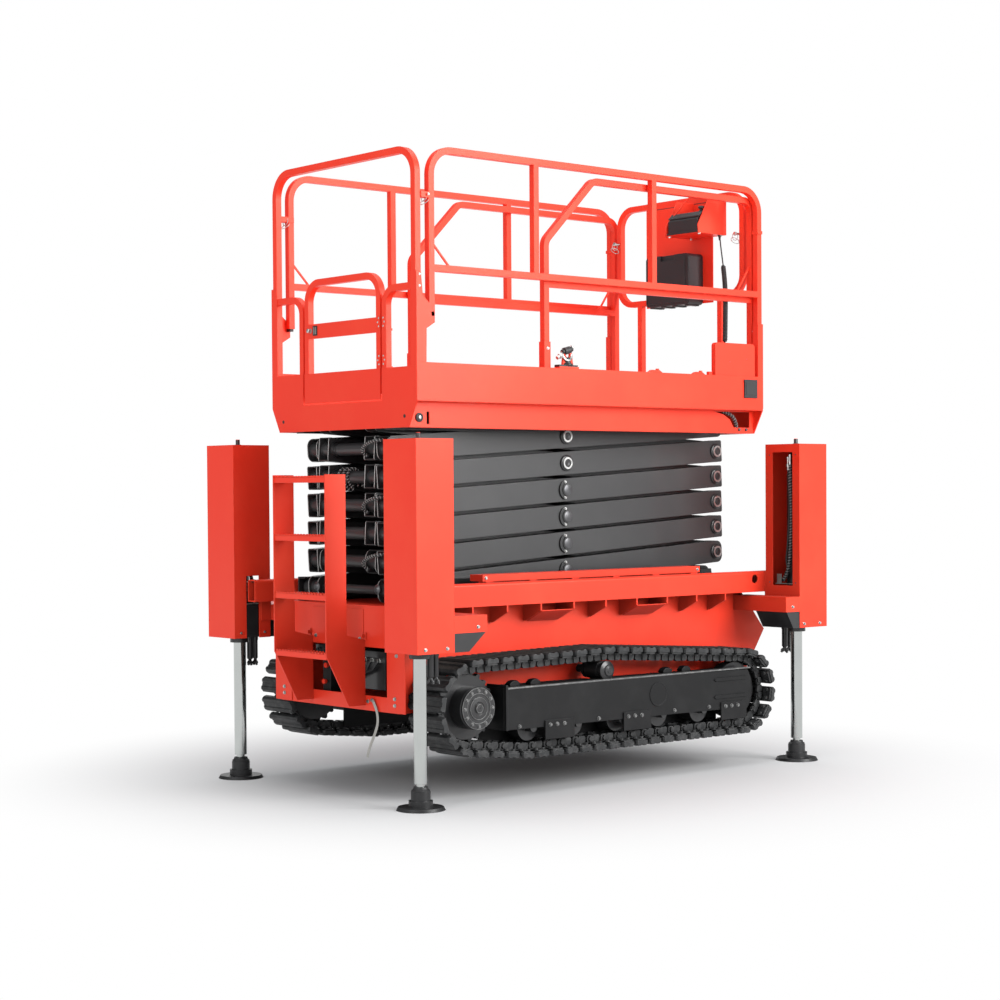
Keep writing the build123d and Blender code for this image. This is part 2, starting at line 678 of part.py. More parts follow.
def inner_frame(corner):
    """Two arms joined by three cross tubes that the shafts of the outer frames run through."""
    reach = INNER_ARM_Y - ARM_WIDTH / 2
    frame = arm(INNER_ARM_Y, True, corner).fuse(arm(-INNER_ARM_Y, True, corner))
    for x in (-ARM_LENGTH / 2, 0, ARM_LENGTH / 2):
        frame += cross(CROSS_RADIUS, -reach, reach, x, 0)
        frame -= cross(PIN_RADIUS + 2, -reach, reach, x, 0)
        frame -= cross(PIN_RADIUS + RUN, -reach - 1, reach + 1, x, 0)
    return frame


def outer_frame(first, last):
    """Two arms joined by three shafts, with a head on each end."""
    corner = ARM_ROUND if first or last else ARM_CORNER
    frame = arm(OUTER_ARM_Y, False, corner).fuse(arm(-OUTER_ARM_Y, False, corner))
    for x in (-ARM_LENGTH / 2, 0, ARM_LENGTH / 2):
        reach = OUTER_FACE + PIN_HEAD
        frame += cross(PIN_RADIUS, -OUTER_FACE, OUTER_FACE, x, 0)
        if first and x < 0:
            end = OUTER_FACE + 6 + ROLLER_X_WIDTH
            frame += cross(PIN_RADIUS, -end, end, x, 0)
            for side in (1, -1):
                frame += cross(ROLLER_X_RADIUS, side * (OUTER_FACE + 6), side * end, x, 0)
        elif last and x > 0:
            frame += cross(PIN_RADIUS, -OUTER_FACE - 22, OUTER_FACE + 22, x, 0)
        else:
            for side in (1, -1):
                frame += cross(PIN_HEAD_RADIUS, side * OUTER_FACE, side * reach, x, 0)
    return frame


def top_rollers():
    """Rollers on the last inner frame's rear shaft."""
    end = OUTER_FACE + 6 + ROLLER_X_WIDTH
    x = -ARM_LENGTH / 2
    shapes = [cross(PIN_RADIUS + 3, -end, end, x, 0)]
    for side in (1, -1):
        shapes.append(cross(ROLLER_X_RADIUS, side * (OUTER_FACE + 6), side * end, x, 0))
    return shapes[0].fuse(*shapes[1:])


def cylinder_ears(eye, root, pin_held):
    """A pair of ears from a cross tube to a cylinder's eye, in the inner frame's own axes."""
    shapes = []
    for side in (1, -1):
        outline = make_hull([CenterArc(eye, EYE_RADIUS - 6, 0, 360), CenterArc((root, 0), CROSS_RADIUS + 4, 0, 360)])
        outline -= Pos(root, 0) * Circle(PIN_RADIUS + 4)
        outline -= Pos(*eye) * Circle(EYE_PIN_RADIUS + (0 if pin_held else RUN))
        shapes.append(extrude_across(outline, side * EAR_GAP, side * (EAR_GAP + EAR_THICKNESS)))
    if pin_held:
        end = EAR_GAP + EAR_THICKNESS
        shapes.append(cross(EYE_PIN_RADIUS, -end, end, *eye))
    return shapes[0].fuse(*shapes[1:])


def frame_point(stage, along_arm, off_arm):
    """A point of an inner frame, folded, from its place along and square to the arm."""
    angle = radians(FOLDED_ANGLE)
    x = MIDDLE_PIN_X + along_arm * cos(angle) + off_arm * sin(angle)
    z = BASE_PIVOT_Z + (stage - 0.5) * FOLDED_PITCH - along_arm * sin(angle) + off_arm * cos(angle)
    return x, z


def lift_barrel():
    """The barrel along +X from its eye, bored for the rod."""
    turned = Rot(0, 90, 0)
    gland = LIFT_BARREL_REST
    tube = Pos(gland / 2 + 12, 0, 0) * turned * Cylinder(LIFT_BARREL_RADIUS, gland - 24)
    eye = cross(EYE_RADIUS, -EAR_GAP + 1, EAR_GAP - 1, 0, 0)
    shape = tube + eye - cross(EYE_PIN_RADIUS + RUN, -EAR_GAP, EAR_GAP, 0, 0)
    shape -= Pos((gland + 60) / 2, 0, 0) * turned * Cylinder(LIFT_BARREL_RADIUS - 8, gland - 110)
    return shape - Pos(gland / 2 + 40, 0, 0) * turned * Cylinder(LIFT_ROD_RADIUS + RUN, gland)


def lift_rod(closed):
    """The rod and piston, its eye at the closed length, held off its pin's ears."""
    turned = Rot(0, 90, 0)
    rod = Pos((closed + 120) / 2, 0, 0) * turned * Cylinder(LIFT_ROD_RADIUS, closed - 120)
    piston = Pos(140, 0, 0) * turned * Cylinder(LIFT_BARREL_RADIUS - 8 - RUN, 40)
    eye = cross(EYE_RADIUS, -EAR_GAP + 6, EAR_GAP - 6, closed, 0)
    return rod + piston + eye


for number, stage in enumerate(CYLINDER_STAGES, start=1):
    foot = frame_point(stage, *BARREL_EYE)
    head = frame_point(stage + 1, *ROD_EYE)
    closed = hypot(head[0] - foot[0], head[1] - foot[1])
    lean = degrees(atan2(head[1] - foot[1], head[0] - foot[0]))
    place = Pos(foot[0], 0, foot[1]) * Rot(0, -lean, 0)
    save(f"lift_barrel_{number}", place * lift_barrel())
    save(f"lift_rod_{number}", place * lift_rod(closed))

SQUARE_FRAME = inner_frame(ARM_CORNER)
ROUND_FRAME = inner_frame(ARM_ROUND)
for stage in range(1, STAGES + 1):
    place = Pos(MIDDLE_PIN_X, 0, BASE_PIVOT_Z + (stage - 0.5) * FOLDED_PITCH)
    inner = ROUND_FRAME if stage in (1, STAGES) else SQUARE_FRAME
    if stage == STAGES:
        inner = inner.fuse(top_rollers())
    if stage in CYLINDER_STAGES:
        inner = inner.fuse(cylinder_ears(BARREL_EYE, 0, True))
    if stage - 1 in CYLINDER_STAGES:
        inner = inner.fuse(cylinder_ears(ROD_EYE, ARM_LENGTH / 2, False))
    save(f"inner_arms_{stage}", place * Rot(0, FOLDED_ANGLE, 0) * inner)
    outer = outer_frame(stage == 1, stage == STAGES)
    save(f"outer_arms_{stage}", place * Rot(0, -FOLDED_ANGLE, 0) * outer)

# ---------------------------------------------------------------- platform

def skirt_outline(top, step):
    """The end plates' outline in Y and Z: full width above the deck, drawn in under it."""
    return [(-PLATFORM_HALF, top), (-PLATFORM_HALF, TOE_LOW), (-SKIRT_HALF, PLATFORM_LOW),
            (SKIRT_HALF, PLATFORM_LOW), (PLATFORM_HALF, TOE_LOW), (PLATFORM_HALF, top)] + step


def platform_frame():
    """Deck plate on two skirt channels, toe boards beside it, and the end plates."""
    deck = box(PLATFORM_REAR + REAR_SHEET, PLATFORM_FRONT, -PLATFORM_HALF, PLATFORM_HALF, TOE_LOW, DECK_Z)
    shapes = []
    for side in (1, -1):
        skirt = box(PLATFORM_REAR + REAR_SHEET, PLATFORM_FRONT, side * (SKIRT_HALF - SKIRT_WIDTH),
                    side * SKIRT_HALF, PLATFORM_LOW, TOE_LOW)
        skirt -= box(PLATFORM_REAR + 20, PLATFORM_FRONT + 1, side * (SKIRT_HALF - SKIRT_WIDTH - 1),
                     side * (SKIRT_HALF - PLATE), PLATFORM_LOW + PLATE, TOE_LOW - PLATE)
        cut_out = [(811, TOE_LOW - PLATE), (880, 1712), (925, 1688), (950, 1650), (PLATFORM_FRONT - 30, 1650),
                   (PLATFORM_FRONT - 30, TOE_LOW - PLATE)]
        skirt -= side_plate(cut_out, side * (SKIRT_HALF - PLATE - 1), side * (SKIRT_HALF + 1))
        skirt -= box(-988, -972, side * (SKIRT_HALF - PLATE - 1), side * (SKIRT_HALF + 1), 1636, 1690)
        shapes.append(skirt)
        shapes.append(box(PLATFORM_REAR + REAR_SHEET, PLATFORM_FRONT, side * (PLATFORM_HALF - PLATE),
                          side * PLATFORM_HALF, TOE_LOW, TOE_TOP))
    gap = GATE_HALF + 12
    rear = skirt_outline(REAR_TOE_TOP, [(gap, REAR_TOE_TOP), (gap, DECK_Z), (-gap, DECK_Z), (-gap, REAR_TOE_TOP)])
    front = skirt_outline(DECK_Z, [])
    shapes.append(extrude_along(make_face(Polyline(*rear, close=True)), PLATFORM_REAR, PLATFORM_REAR + REAR_SHEET))
    shapes.append(extrude_along(make_face(Polyline(*front, close=True)), PLATFORM_FRONT, PLATFORM_FRONT + PLATE))
    return deck.fuse(*shapes)


def platform_channels():
    """Channels under the deck: rollers run in them at the rear, and ears hold the front shaft."""
    solids = []
    for side in (1, -1):
        rail = channel(side * WEB_Y, -side, TOP_PIVOT_Z, CHANNEL_REAR, CHANNEL_FRONT,
                       CHANNEL_HALF, ROLLER_X_WIDTH + 6)
        pad = box(CHANNEL_REAR, CHANNEL_FRONT, side * (WEB_Y - 46), side * WEB_Y,
                  TOP_PIVOT_Z + CHANNEL_HALF + CHANNEL_WALL, TOE_LOW)
        ear_in = OUTER_FACE + 6
        points = [(FRONT_PIN_X - 70, TOE_LOW), (FRONT_PIN_X + 37, TOE_LOW), (FRONT_PIN_X + 37, TOP_PIVOT_Z - 34),
                  (FRONT_PIN_X - 34, TOP_PIVOT_Z - 34)]
        ear = side_plate(points, side * ear_in, side * (ear_in + 14), [(FRONT_PIN_X, TOP_PIVOT_Z, PIN_RADIUS + RUN)])
        solids += [rail + pad, ear]
    return Compound(solids)


def side_rail(side):
    """The folding rail of one side: a bent tube with a mid rail, two uprights and a corner brace."""
    top = RAIL_TOP - RAIL_TUBE / 2
    rear, front = SIDE_RAIL_REAR, SIDE_RAIL_FRONT
    face = band([(rear, SIDE_RAIL_LOW), (rear, top), (front, top), (front, DECK_Z)], RAIL_CORNER, RAIL_TUBE)
    face += band([(rear, MID_RAIL_Z), (front, MID_RAIL_Z)], 0, RAIL_TUBE)
    for x in SIDE_POSTS:
        face += band([(x, MID_RAIL_Z), (x, top)], 0, RAIL_TUBE)
    y = side * SIDE_RAIL_Y
    rail = extrude_across(face, y - RAIL_TUBE / 2, y + RAIL_TUBE / 2)
    brace = band([(rear + 12, 2418), (rear + 108, 2318)], 0, BRACE)
    return rail + extrude_across(brace, y - BRACE / 2, y + BRACE / 2)


def corner_bracket(side):
    """The folded sheet at a rear corner, with the ear that a side rail's post hinges in."""
    ear = [(PLATFORM_REAR, TOE_TOP), (-1032, TOE_TOP), (-1030, 2045), (-985, 2072), (-984, 2138), (-994, 2138),
           (-1033, 2171), (-1049, 2185), (-1060, EAR_TOP), (PLATFORM_REAR, EAR_TOP)]
    sheet = side_plate(ear, side * (PLATFORM_HALF - PLATE), side * PLATFORM_HALF)
    flange = box(PLATFORM_REAR, PLATFORM_REAR + REAR_SHEET, side * 502, side * PLATFORM_HALF, REAR_TOE_TOP, EAR_TOP)
    return sheet + flange


def front_sleeve(side):
    """The upright pocket that the side rail's front post stands in; it is open to the inside."""
    inner = PLATFORM_HALF - PLATE - RAIL_TUBE
    sleeve = box(SIDE_RAIL_FRONT - 19, PLATFORM_FRONT + PLATE + 2, side * inner, side * PLATFORM_HALF, DECK_Z, SLEEVE_TOP)
    sleeve -= box(SIDE_RAIL_FRONT - RAIL_TUBE / 2, SIDE_RAIL_FRONT + RAIL_TUBE / 2, side * (inner - 1),
                  side * (PLATFORM_HALF - PLATE), DECK_Z - 1, SLEEVE_TOP + 1)
    return sleeve - box(SIDE_RAIL_FRONT - 20, PLATFORM_FRONT, side * (PLATFORM_HALF - PLATE),
                        side * (PLATFORM_HALF + 1), DECK_Z - 1, TOE_TOP)


def anchor():
    """A lanyard anchor on the toe board's top edge: a foot with an eye."""
    y1 = -(PLATFORM_HALF - 36)
    foot = box(ANCHOR_X - 60, ANCHOR_X + 60, -PLATFORM_HALF, y1, TOE_TOP, TOE_TOP + 8)
    eye = make_hull([CenterArc((ANCHOR_X, ANCHOR_Z), 26, 0, 360),
                     Line((ANCHOR_X - 34, TOE_TOP + 8), (ANCHOR_X + 34, TOE_TOP + 8))])
    eye -= Pos(ANCHOR_X, ANCHOR_Z) * Circle(13)
    return foot + extrude_across(eye, -PLATFORM_HALF + 10, -PLATFORM_HALF + 20)


def junction_cover():
    """The sheet cover over the sockets that the control cord plugs into."""
    outer = -(PLATFORM_HALF - PLATE)
    cover = box(768, 1050, outer, outer + 26, TOE_TOP - 60, COVER_TOP)
    return fillet(cover.edges().filter_by(Axis.Y).group_by(Axis.Z)[-1], 18)


def rear_rail():
    """The rear hoop with a quarter rail on each side of the gate."""
    top = RAIL_TOP - RAIL_TUBE / 2
    half = REAR_RAIL_HALF
    face = band([(-half, DECK_Z), (-half, top), (half, top), (half, DECK_Z)], RAIL_CORNER, RAIL_TUBE)
    for side in (1, -1):
        gate_post = side * (GATE_HALF + GATE_GAP + RAIL_TUBE / 2)
        face += band([(side * half, QUARTER_Z), (gate_post, QUARTER_Z), (gate_post, DECK_Z)], 70, RAIL_TUBE)
    rail = extrude_along(face, REAR_RAIL_X - RAIL_TUBE / 2, REAR_RAIL_X + RAIL_TUBE / 2)
    for z in GATE_HINGES:
        half = GATE_HINGE_LENGTH / 2
        rail += upright(GATE_PIN_RADIUS, z - half - 12, z + half, GATE_AXIS_X, GATE_AXIS_Y)
        rail += box(REAR_RAIL_X + RAIL_TUBE / 2, GATE_AXIS_X + 6, GATE_AXIS_Y - 22, GATE_AXIS_Y + 4,
                    z - half - 12, z - half - 2)
    return rail


def gate():
    """The half-height swing gate with its latch plate and toe plate."""
    top = GATE_TOP - RAIL_TUBE / 2
    half = GATE_HALF - 15
    low = DECK_Z + 30
    face = band([(-half, low), (-half, top), (half, top), (half, low)], 90, RAIL_TUBE)
    x0 = REAR_RAIL_X - RAIL_TUBE / 2
    shape = extrude_along(face, x0, x0 + RAIL_TUBE)
    inner = GATE_HALF - 15
    shape += box(x0, x0 + 6, -inner, inner, 2042, 2109)
    shape += box(PLATFORM_REAR, x0, -GATE_HALF, GATE_HALF, DECK_Z + 6, REAR_TOE_TOP)
    for z in GATE_HINGES:
        low = z - GATE_HINGE_LENGTH / 2
        high = z + GATE_HINGE_LENGTH / 2
        shape += upright(GATE_SLEEVE_RADIUS, low, high, GATE_AXIS_X, GATE_AXIS_Y)
        shape += box(x0 + RAIL_TUBE, GATE_AXIS_X, GATE_AXIS_Y, -inner + 2, low, high)
        shape -= upright(GATE_PIN_RADIUS + RUN, low - 1, high + 1, GATE_AXIS_X, GATE_AXIS_Y)
    return shape


def extension_deck():
    """The sliding deck plate with its runners and front toe board."""
    z = DECK_Z + EXT_DECK_RISE
    deck = box(EXT_DECK_REAR, EXTENSION_FRONT, -EXT_DECK_HALF, EXT_DECK_HALF, z, z + 4)
    shapes = [box(EXTENSION_FRONT - PLATE, EXTENSION_FRONT, -EXT_DECK_HALF, EXT_DECK_HALF, z, TOE_TOP - 8)]
    for side in (1, -1):
        shapes.append(box(EXT_DECK_REAR, EXTENSION_FRONT, side * (EXT_DECK_HALF - 40),
                          side * EXT_DECK_HALF, DECK_Z + SEAT, z))
    return deck.fuse(*shapes)


def extension_rail(side):
    """The inner rail that slides out with the extension deck; its rear end is drawn in at the top."""
    top = EXT_RAIL_TOP - RAIL_TUBE / 2
    rear, front = EXT_RAIL_REAR, EXT_RAIL_FRONT
    base = DECK_Z + EXT_DECK_RISE + 4
    face = band([(rear, base), (rear, EXT_DIAGONAL_Z), (EXT_DIAGONAL_X, top), (front, top), (front, base)],
                60, RAIL_TUBE)
    face += band([(rear, EXT_MID_Z), (front, EXT_MID_Z)], 0, RAIL_TUBE)
    y = side * EXT_RAIL_Y
    rail = extrude_across(face, y - RAIL_TUBE / 2, y + RAIL_TUBE / 2)
    brace = band([(front - 10, 2450), (front - 122, 2292)], 0, BRACE)
    return rail + extrude_across(brace, y - BRACE / 2, y + BRACE / 2)


def front_rail():
    """A closed loop on two posts, with the plate that backs the controls."""
    top = RAIL_TOP - RAIL_TUBE / 2
    low = FRONT_LOOP_LOW + RAIL_TUBE / 2
    outer = RectangleRounded(2 * FRONT_LOOP_HALF, RAIL_TOP - FRONT_LOOP_LOW, RAIL_CORNER)
    inner = RectangleRounded(2 * FRONT_LOOP_HALF - 2 * RAIL_TUBE, RAIL_TOP - FRONT_LOOP_LOW - 2 * RAIL_TUBE,
                             RAIL_CORNER - RAIL_TUBE)
    face = Pos(0, (RAIL_TOP + FRONT_LOOP_LOW) / 2) * (outer - inner)
    for side in (1, -1):
        y = side * FRONT_POST_Y
        face += band([(y, DECK_Z + EXT_DECK_RISE + 4), (y, FRONT_LOOP_LOW + RAIL_TUBE / 2)], 0, RAIL_TUBE)
    return extrude_along(face, FRONT_RAIL_X - RAIL_TUBE / 2, FRONT_RAIL_X + RAIL_TUBE / 2)


def control_plate():
    """The sheet behind the controls, with a shelf for the box and a hood plate beside it."""
    x1 = FRONT_RAIL_X - RAIL_TUBE / 2
    z, top = SHELF_Z, SHELF_Z + HOOD_HEIGHT
    back = box(PLATE_BACK_X, x1, -247, 228, z - PLATE_DROP, RAIL_TOP)
    back += box(PLATE_BACK_X, x1, -337, -247, z, top)
    shelf = box(SHELF_REAR, PLATE_BACK_X, -337, -112, z, z + SHELF_SHEET)
    hood = [(SHELF_REAR - 2, z), (SHELF_REAR - 6, z + 41), (SHELF_REAR + 74, top),
            (PLATE_BACK_X, top), (PLATE_BACK_X, z)]
    return back.fuse(shelf, side_plate(hood, -337, -333), side_plate(hood, -116, -112))


def control_box():
    """The portable control box on its shelf, with a sloped front edge."""
    rear, low = SHELF_REAR + 2, SHELF_Z + SHELF_SHEET
    outline = [(rear, low), (rear, low + 67), (rear + 32, low + 103),
               (PLATE_BACK_X, low + 103), (PLATE_BACK_X, low)]
    return side_plate(outline, -325, -124)


def carrying_case():
    """The document case on the plate's inner face, with rounded corners and a notch for the hand."""
    middle = SHELF_Z - CASE_DROP
    outline = Pos(CASE_Y, middle) * RectangleRounded(CASE_WIDTH, CASE_HEIGHT, 22)
    case = extrude_along(outline, 960, PLATE_BACK_X)
    top = middle + CASE_HEIGHT / 2
    return case - box(950, 975, CASE_Y - 50, CASE_Y + 50, top - 28, top + 20)


def corner_radii(route):
    """The largest arc at each corner of a route that its two runs leave room for."""
    radii = []
    for before, corner, after in zip(route, route[1:], route[2:]):
        arriving = Vector(*corner) - Vector(*before)
        leaving = Vector(*after) - Vector(*corner)
        turn = radians(arriving.get_angle(leaving))
        radii.append(0.45 * min(arriving.length, leaving.length) / tan(turn / 2))
    return radii


def control_cord():
    """The coiled lead from the control shelf to the sockets' cover, drawn as its outside."""
    radii = corner_radii(LEAD_ROUTE)
    print("control cord radii", [round(r) for r in radii])
    line = FilletPolyline(*LEAD_ROUTE, radius=radii)
    start = Plane(origin=line @ 0, z_dir=line % 0)
    tube = sweep(start * Circle(LEAD_RADIUS), path=line)
    print("control cord volume over section by length", tube.volume / (pi * LEAD_RADIUS ** 2 * line.length))
    low, high = LEAD_ROUTE[-1][2], LEAD_ROUTE[0][2]
    return tube & box(700, 1200, -600, -200, low, high)


save("platform_frame", platform_frame())
save("platform_channels", platform_channels())
for name, side in SIDES.items():
    save(f"side_rail_{name}", side_rail(side))
    save(f"extension_rail_{name}", extension_rail(side))
save("rear_rail", rear_rail())
save("gate", gate())
save("extension_deck", extension_deck())
save("front_rail", front_rail())
save("control_plate", control_plate())
save("control_cord", control_cord())
save("control_box", control_box())
save("carrying_case", carrying_case())
fittings = [corner_bracket(1), corner_bracket(-1), front_sleeve(1), front_sleeve(-1), anchor(), junction_cover()]
save("platform_fittings", Compound(fittings))
save("socket_plate", box(964, 1055, -PLATFORM_HALF - 7, -PLATFORM_HALF, 1794, 1884))
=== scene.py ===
# %% [markdown]
# # A crawler scissor lift, dressed for rendering
# The solids of the machine are already there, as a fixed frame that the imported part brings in.
# This lesson lights them, gives every surface a finish, and adds what a solid model leaves out:
# track shoes, bolts, hoses, pin keepers, hinges and the controls. Lengths are in millimetres about
# the middle of the four legs, and `place` turns them into metres in the frame.

# %% The frame and the sizes that everything shares
import math

import bmesh
import bpy
from mathutils import Matrix, Vector


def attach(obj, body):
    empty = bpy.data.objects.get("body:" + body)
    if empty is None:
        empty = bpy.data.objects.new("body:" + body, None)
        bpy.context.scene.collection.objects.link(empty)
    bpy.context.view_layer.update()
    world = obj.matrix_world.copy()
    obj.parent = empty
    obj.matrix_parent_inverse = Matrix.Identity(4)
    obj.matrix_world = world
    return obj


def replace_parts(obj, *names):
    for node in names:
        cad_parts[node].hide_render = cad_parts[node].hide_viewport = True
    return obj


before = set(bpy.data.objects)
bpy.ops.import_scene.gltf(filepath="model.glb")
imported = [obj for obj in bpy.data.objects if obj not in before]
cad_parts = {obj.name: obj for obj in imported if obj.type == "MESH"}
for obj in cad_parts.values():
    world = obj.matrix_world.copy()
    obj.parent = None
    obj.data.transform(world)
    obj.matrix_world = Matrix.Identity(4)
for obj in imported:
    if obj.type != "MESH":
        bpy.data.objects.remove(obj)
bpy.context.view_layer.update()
FRAME_SHIFT = 15        # the frame's middle lies this far behind the legs' middle
LEG_X, LEG_Y = 1190, 683
SIDES = (("left", 1), ("right", -1))
LEGS = {"front_left": (1, 1), "front_right": (1, -1), "rear_left": (-1, 1), "rear_right": (-1, -1)}
UPWARD, REARWARD = Vector((0, 0, 1)), Vector((-1, 0, 0))


def place(x, y, z):
    """Millimetres about the legs' middle, as a point of the frame in metres."""
    return Vector(((x + FRAME_SHIFT) / 1000, y / 1000, z / 1000))


# %% [markdown]
# Lights, finishes and geometry are all networks of nodes. Two small helpers keep them short: one
# makes a node with its values, and the other joins sockets.

# %% Nodes and wires
def add_node(tree, kind, values=None, **settings):
    """A node with its settings made first, because they decide which sockets there are."""
    made = tree.nodes.new(kind)
    for setting, value in settings.items():
        setattr(made, setting, value)
    for socket, value in (values or {}).items():
        made.inputs[socket].default_value = value
    return made


def wire(tree, *links):
    """Joins sockets. A link is the first node and its output, then the second node and its input."""
    for start, output, end, socket in links:
        tree.links.new(start.outputs[output], end.inputs[socket])

# %% [markdown]
# ## Camera
# The camera stands 10 m away at chest height and looks almost level, with a long lens, as one does
# to keep a tall machine's uprights upright. The lens is shifted up a little instead of tilting the
# camera, so that the verticals stay parallel.

# %% Camera
CAMERA_POINT = place(-6613.9, -7542.9, 1345.6)
HEADING, DIP, ROLL = math.radians(40.569), math.radians(1.546), math.radians(-0.373)
ahead = Vector((math.sin(HEADING) * math.cos(DIP), math.cos(HEADING) * math.cos(DIP), -math.sin(DIP)))
right = Vector((math.cos(HEADING), -math.sin(HEADING), 0))
up = right.cross(ahead)
rolled_right = right * math.cos(ROLL) + up * math.sin(ROLL)
rolled_up = up * math.cos(ROLL) - right * math.sin(ROLL)
axes = Matrix((rolled_right, rolled_up, -ahead)).transposed()
lens = bpy.data.cameras.new("camera")
lens.sensor_width = 36
lens.lens = 74.78
lens.shift_y = 0.0466
lens.clip_end = 200
camera = bpy.data.objects.new("camera", lens)
bpy.context.scene.view_settings.view_transform = "Standard"
camera.matrix_world = Matrix.Translation(CAMERA_POINT) @ axes.to_4x4()
bpy.context.scene.collection.objects.link(camera)
bpy.context.scene.camera = camera

# %% [markdown]
# ## Light
# Studio light for a painted machine is a few very large soft boxes: one high on the working side,
# a weaker one on the ladder's side so that the two faces read apart, and one overhead. The world
# fills the shadows. The camera sees plain white behind the machine, and so does glass. Gloss and
# chrome see a room instead: it is light behind the camera and dark beyond the machine, with upright
# light and dark panels. This gives the round rods their stripes and dark edges, and keeps a white
# veil off the paint.

# %% Soft boxes
def soft_box(name, point, size, power):
    """A square area lamp that faces the middle of the machine."""
    lamp = bpy.data.lights.new(name, "AREA")
    lamp.shape = "SQUARE"
    lamp.size = size
    lamp.energy = power
    holder = bpy.data.objects.new(name, lamp)
    holder.location = point
    holder.rotation_euler = (Vector((0, 0, 1.3)) - Vector(point)).to_track_quat("-Z", "Y").to_euler()
    bpy.context.scene.collection.objects.link(holder)


SOFT_BOXES = (
    # name, point, size, power
    ("key_box", (2.6, -7.5, 4.2), 5.0, 900),
    ("ladder_box", (-7.5, -1.5, 3.6), 4.5, 165),
    ("top_box", (0.0, 0.0, 7.5), 6.0, 300),
    ("back_box", (4.5, 6.5, 4.5), 5.0, 160),
)
for box_row in SOFT_BOXES:
    soft_box(*box_row)
print("soft boxes", len(SOFT_BOXES))

# %% World
WORLD_FILL = 0.6
ROOM_BEHIND_CAMERA, ROOM_BEYOND = 0.75, 0.06    # how bright gloss sees the room
PANEL_STRETCH = (2.4, 2.4, 0.1)                 # tall panels: the noise hardly changes upwards
PANEL_DARK, PANEL_LIGHT = 0.3, 1.5
world = bpy.data.worlds.new("studio")
bpy.context.scene.world = world
world.use_nodes = True
wires = world.node_tree
wires.nodes.clear()
seen = add_node(wires, "ShaderNodeLightPath")
either = add_node(wires, "ShaderNodeMath", operation="MAXIMUM")
fill = add_node(wires, "ShaderNodeBackground", {"Color": (0.93, 0.95, 1.0, 1), "Strength": WORLD_FILL})
white = add_node(wires, "ShaderNodeBackground", {"Color": (1, 1, 1, 1)})
room = add_node(wires, "ShaderNodeBackground")
way = add_node(wires, "ShaderNodeTexCoord")
beyond = add_node(wires, "ShaderNodeVectorMath", {1: ahead}, operation="DOT_PRODUCT")
flatten = add_node(wires, "ShaderNodeVectorMath", {1: PANEL_STRETCH}, operation="MULTIPLY")
panels = add_node(wires, "ShaderNodeTexNoise", {"Scale": 1.6, "Detail": 0.5})
banded = add_node(wires, "ShaderNodeMapRange", {
    "From Min": 0.4, "From Max": 0.6, "To Min": PANEL_DARK, "To Max": PANEL_LIGHT,
})
brightness = add_node(wires, "ShaderNodeMath", operation="MULTIPLY")
depth = add_node(wires, "ShaderNodeMapRange", {
    "From Min": -1, "To Min": ROOM_BEHIND_CAMERA, "To Max": ROOM_BEYOND,
})
unlit = add_node(wires, "ShaderNodeMixShader")
blend = add_node(wires, "ShaderNodeMixShader")
world_out = add_node(wires, "ShaderNodeOutputWorld")
wire(wires, (way, "Generated", beyond, 0), (beyond, "Value", depth, "Value"),
            (way, "Generated", flatten, 0), (flatten, "Vector", panels, "Vector"),
            (panels, "Fac", banded, "Value"), (banded, "Result", brightness, 0),
            (depth, "Result", brightness, 1), (brightness, 0, room, "Strength"),
            (seen, "Is Glossy Ray", unlit, "Fac"), (fill, 0, unlit, 1), (room, 0, unlit, 2),
            (seen, "Is Camera Ray", either, 0), (seen, "Is Transmission Ray", either, 1),
            (either, 0, blend, "Fac"), (unlit, 0, blend, 1), (white, 0, blend, 2),
            (blend, 0, world_out, "Surface"))
world.cycles_visibility.camera = True
print("world fill", WORLD_FILL)

# %% [markdown]
# ## Floor
# The floor is a plain pale disc. Near the machine it is a matt grey that the strong light turns
# almost white, so that the shadow under the tracks is deep. Far out it fades into the same white
# as the world, which hides the horizon.

# %% Floor
FLOOR_RADIUS = 60
FLOOR_GREY = (0.5, 0.5, 0.5, 1)
FADE_START, FADE_END = 0.9, 2.7     # metres from the machine's middle
floor_mesh = bpy.data.meshes.new("floor")
floor_shape = bmesh.new()
bmesh.ops.create_circle(floor_shape, cap_ends=True, segments=96, radius=FLOOR_RADIUS)
floor_shape.to_mesh(floor_mesh)
floor_shape.free()
floor = bpy.data.objects.new("floor", floor_mesh)
bpy.context.scene.collection.objects.link(floor)
floor_look = bpy.data.materials.new("pale_floor")
floor_look.use_nodes = True
wires = floor_look.node_tree
wires.nodes.clear()
matt = add_node(wires, "ShaderNodeBsdfDiffuse", {"Color": FLOOR_GREY})
glow = add_node(wires, "ShaderNodeEmission", {"Color": (1, 1, 1, 1)})
spot = add_node(wires, "ShaderNodeTexCoord")
reach = add_node(wires, "ShaderNodeVectorMath", operation="LENGTH")
fade = add_node(wires, "ShaderNodeMapRange", {"From Min": FADE_START, "From Max": FADE_END},
                interpolation_type="SMOOTHSTEP")
blend = add_node(wires, "ShaderNodeMixShader")
floor_out = add_node(wires, "ShaderNodeOutputMaterial")
wire(wires, (spot, "Object", reach, 0), (reach, "Value", fade, "Value"), (fade, "Result", blend, "Fac"),
            (matt, 0, blend, 1), (glow, 0, blend, 2), (blend, 0, floor_out, "Surface"))
floor_mesh.materials.append(floor_look)
print("floor fades from", FADE_START, "to", FADE_END, "m")

# %% [markdown]
# ## Shared effects
# Three effects return on most finishes, so each is a node group: an edge mask that finds the sharp
# edges with a Bevel node, a grain that is a small bump, and soft mottling that keeps large plates
# from looking computed. A group gives out masks and normals only, and the shader stays outside.

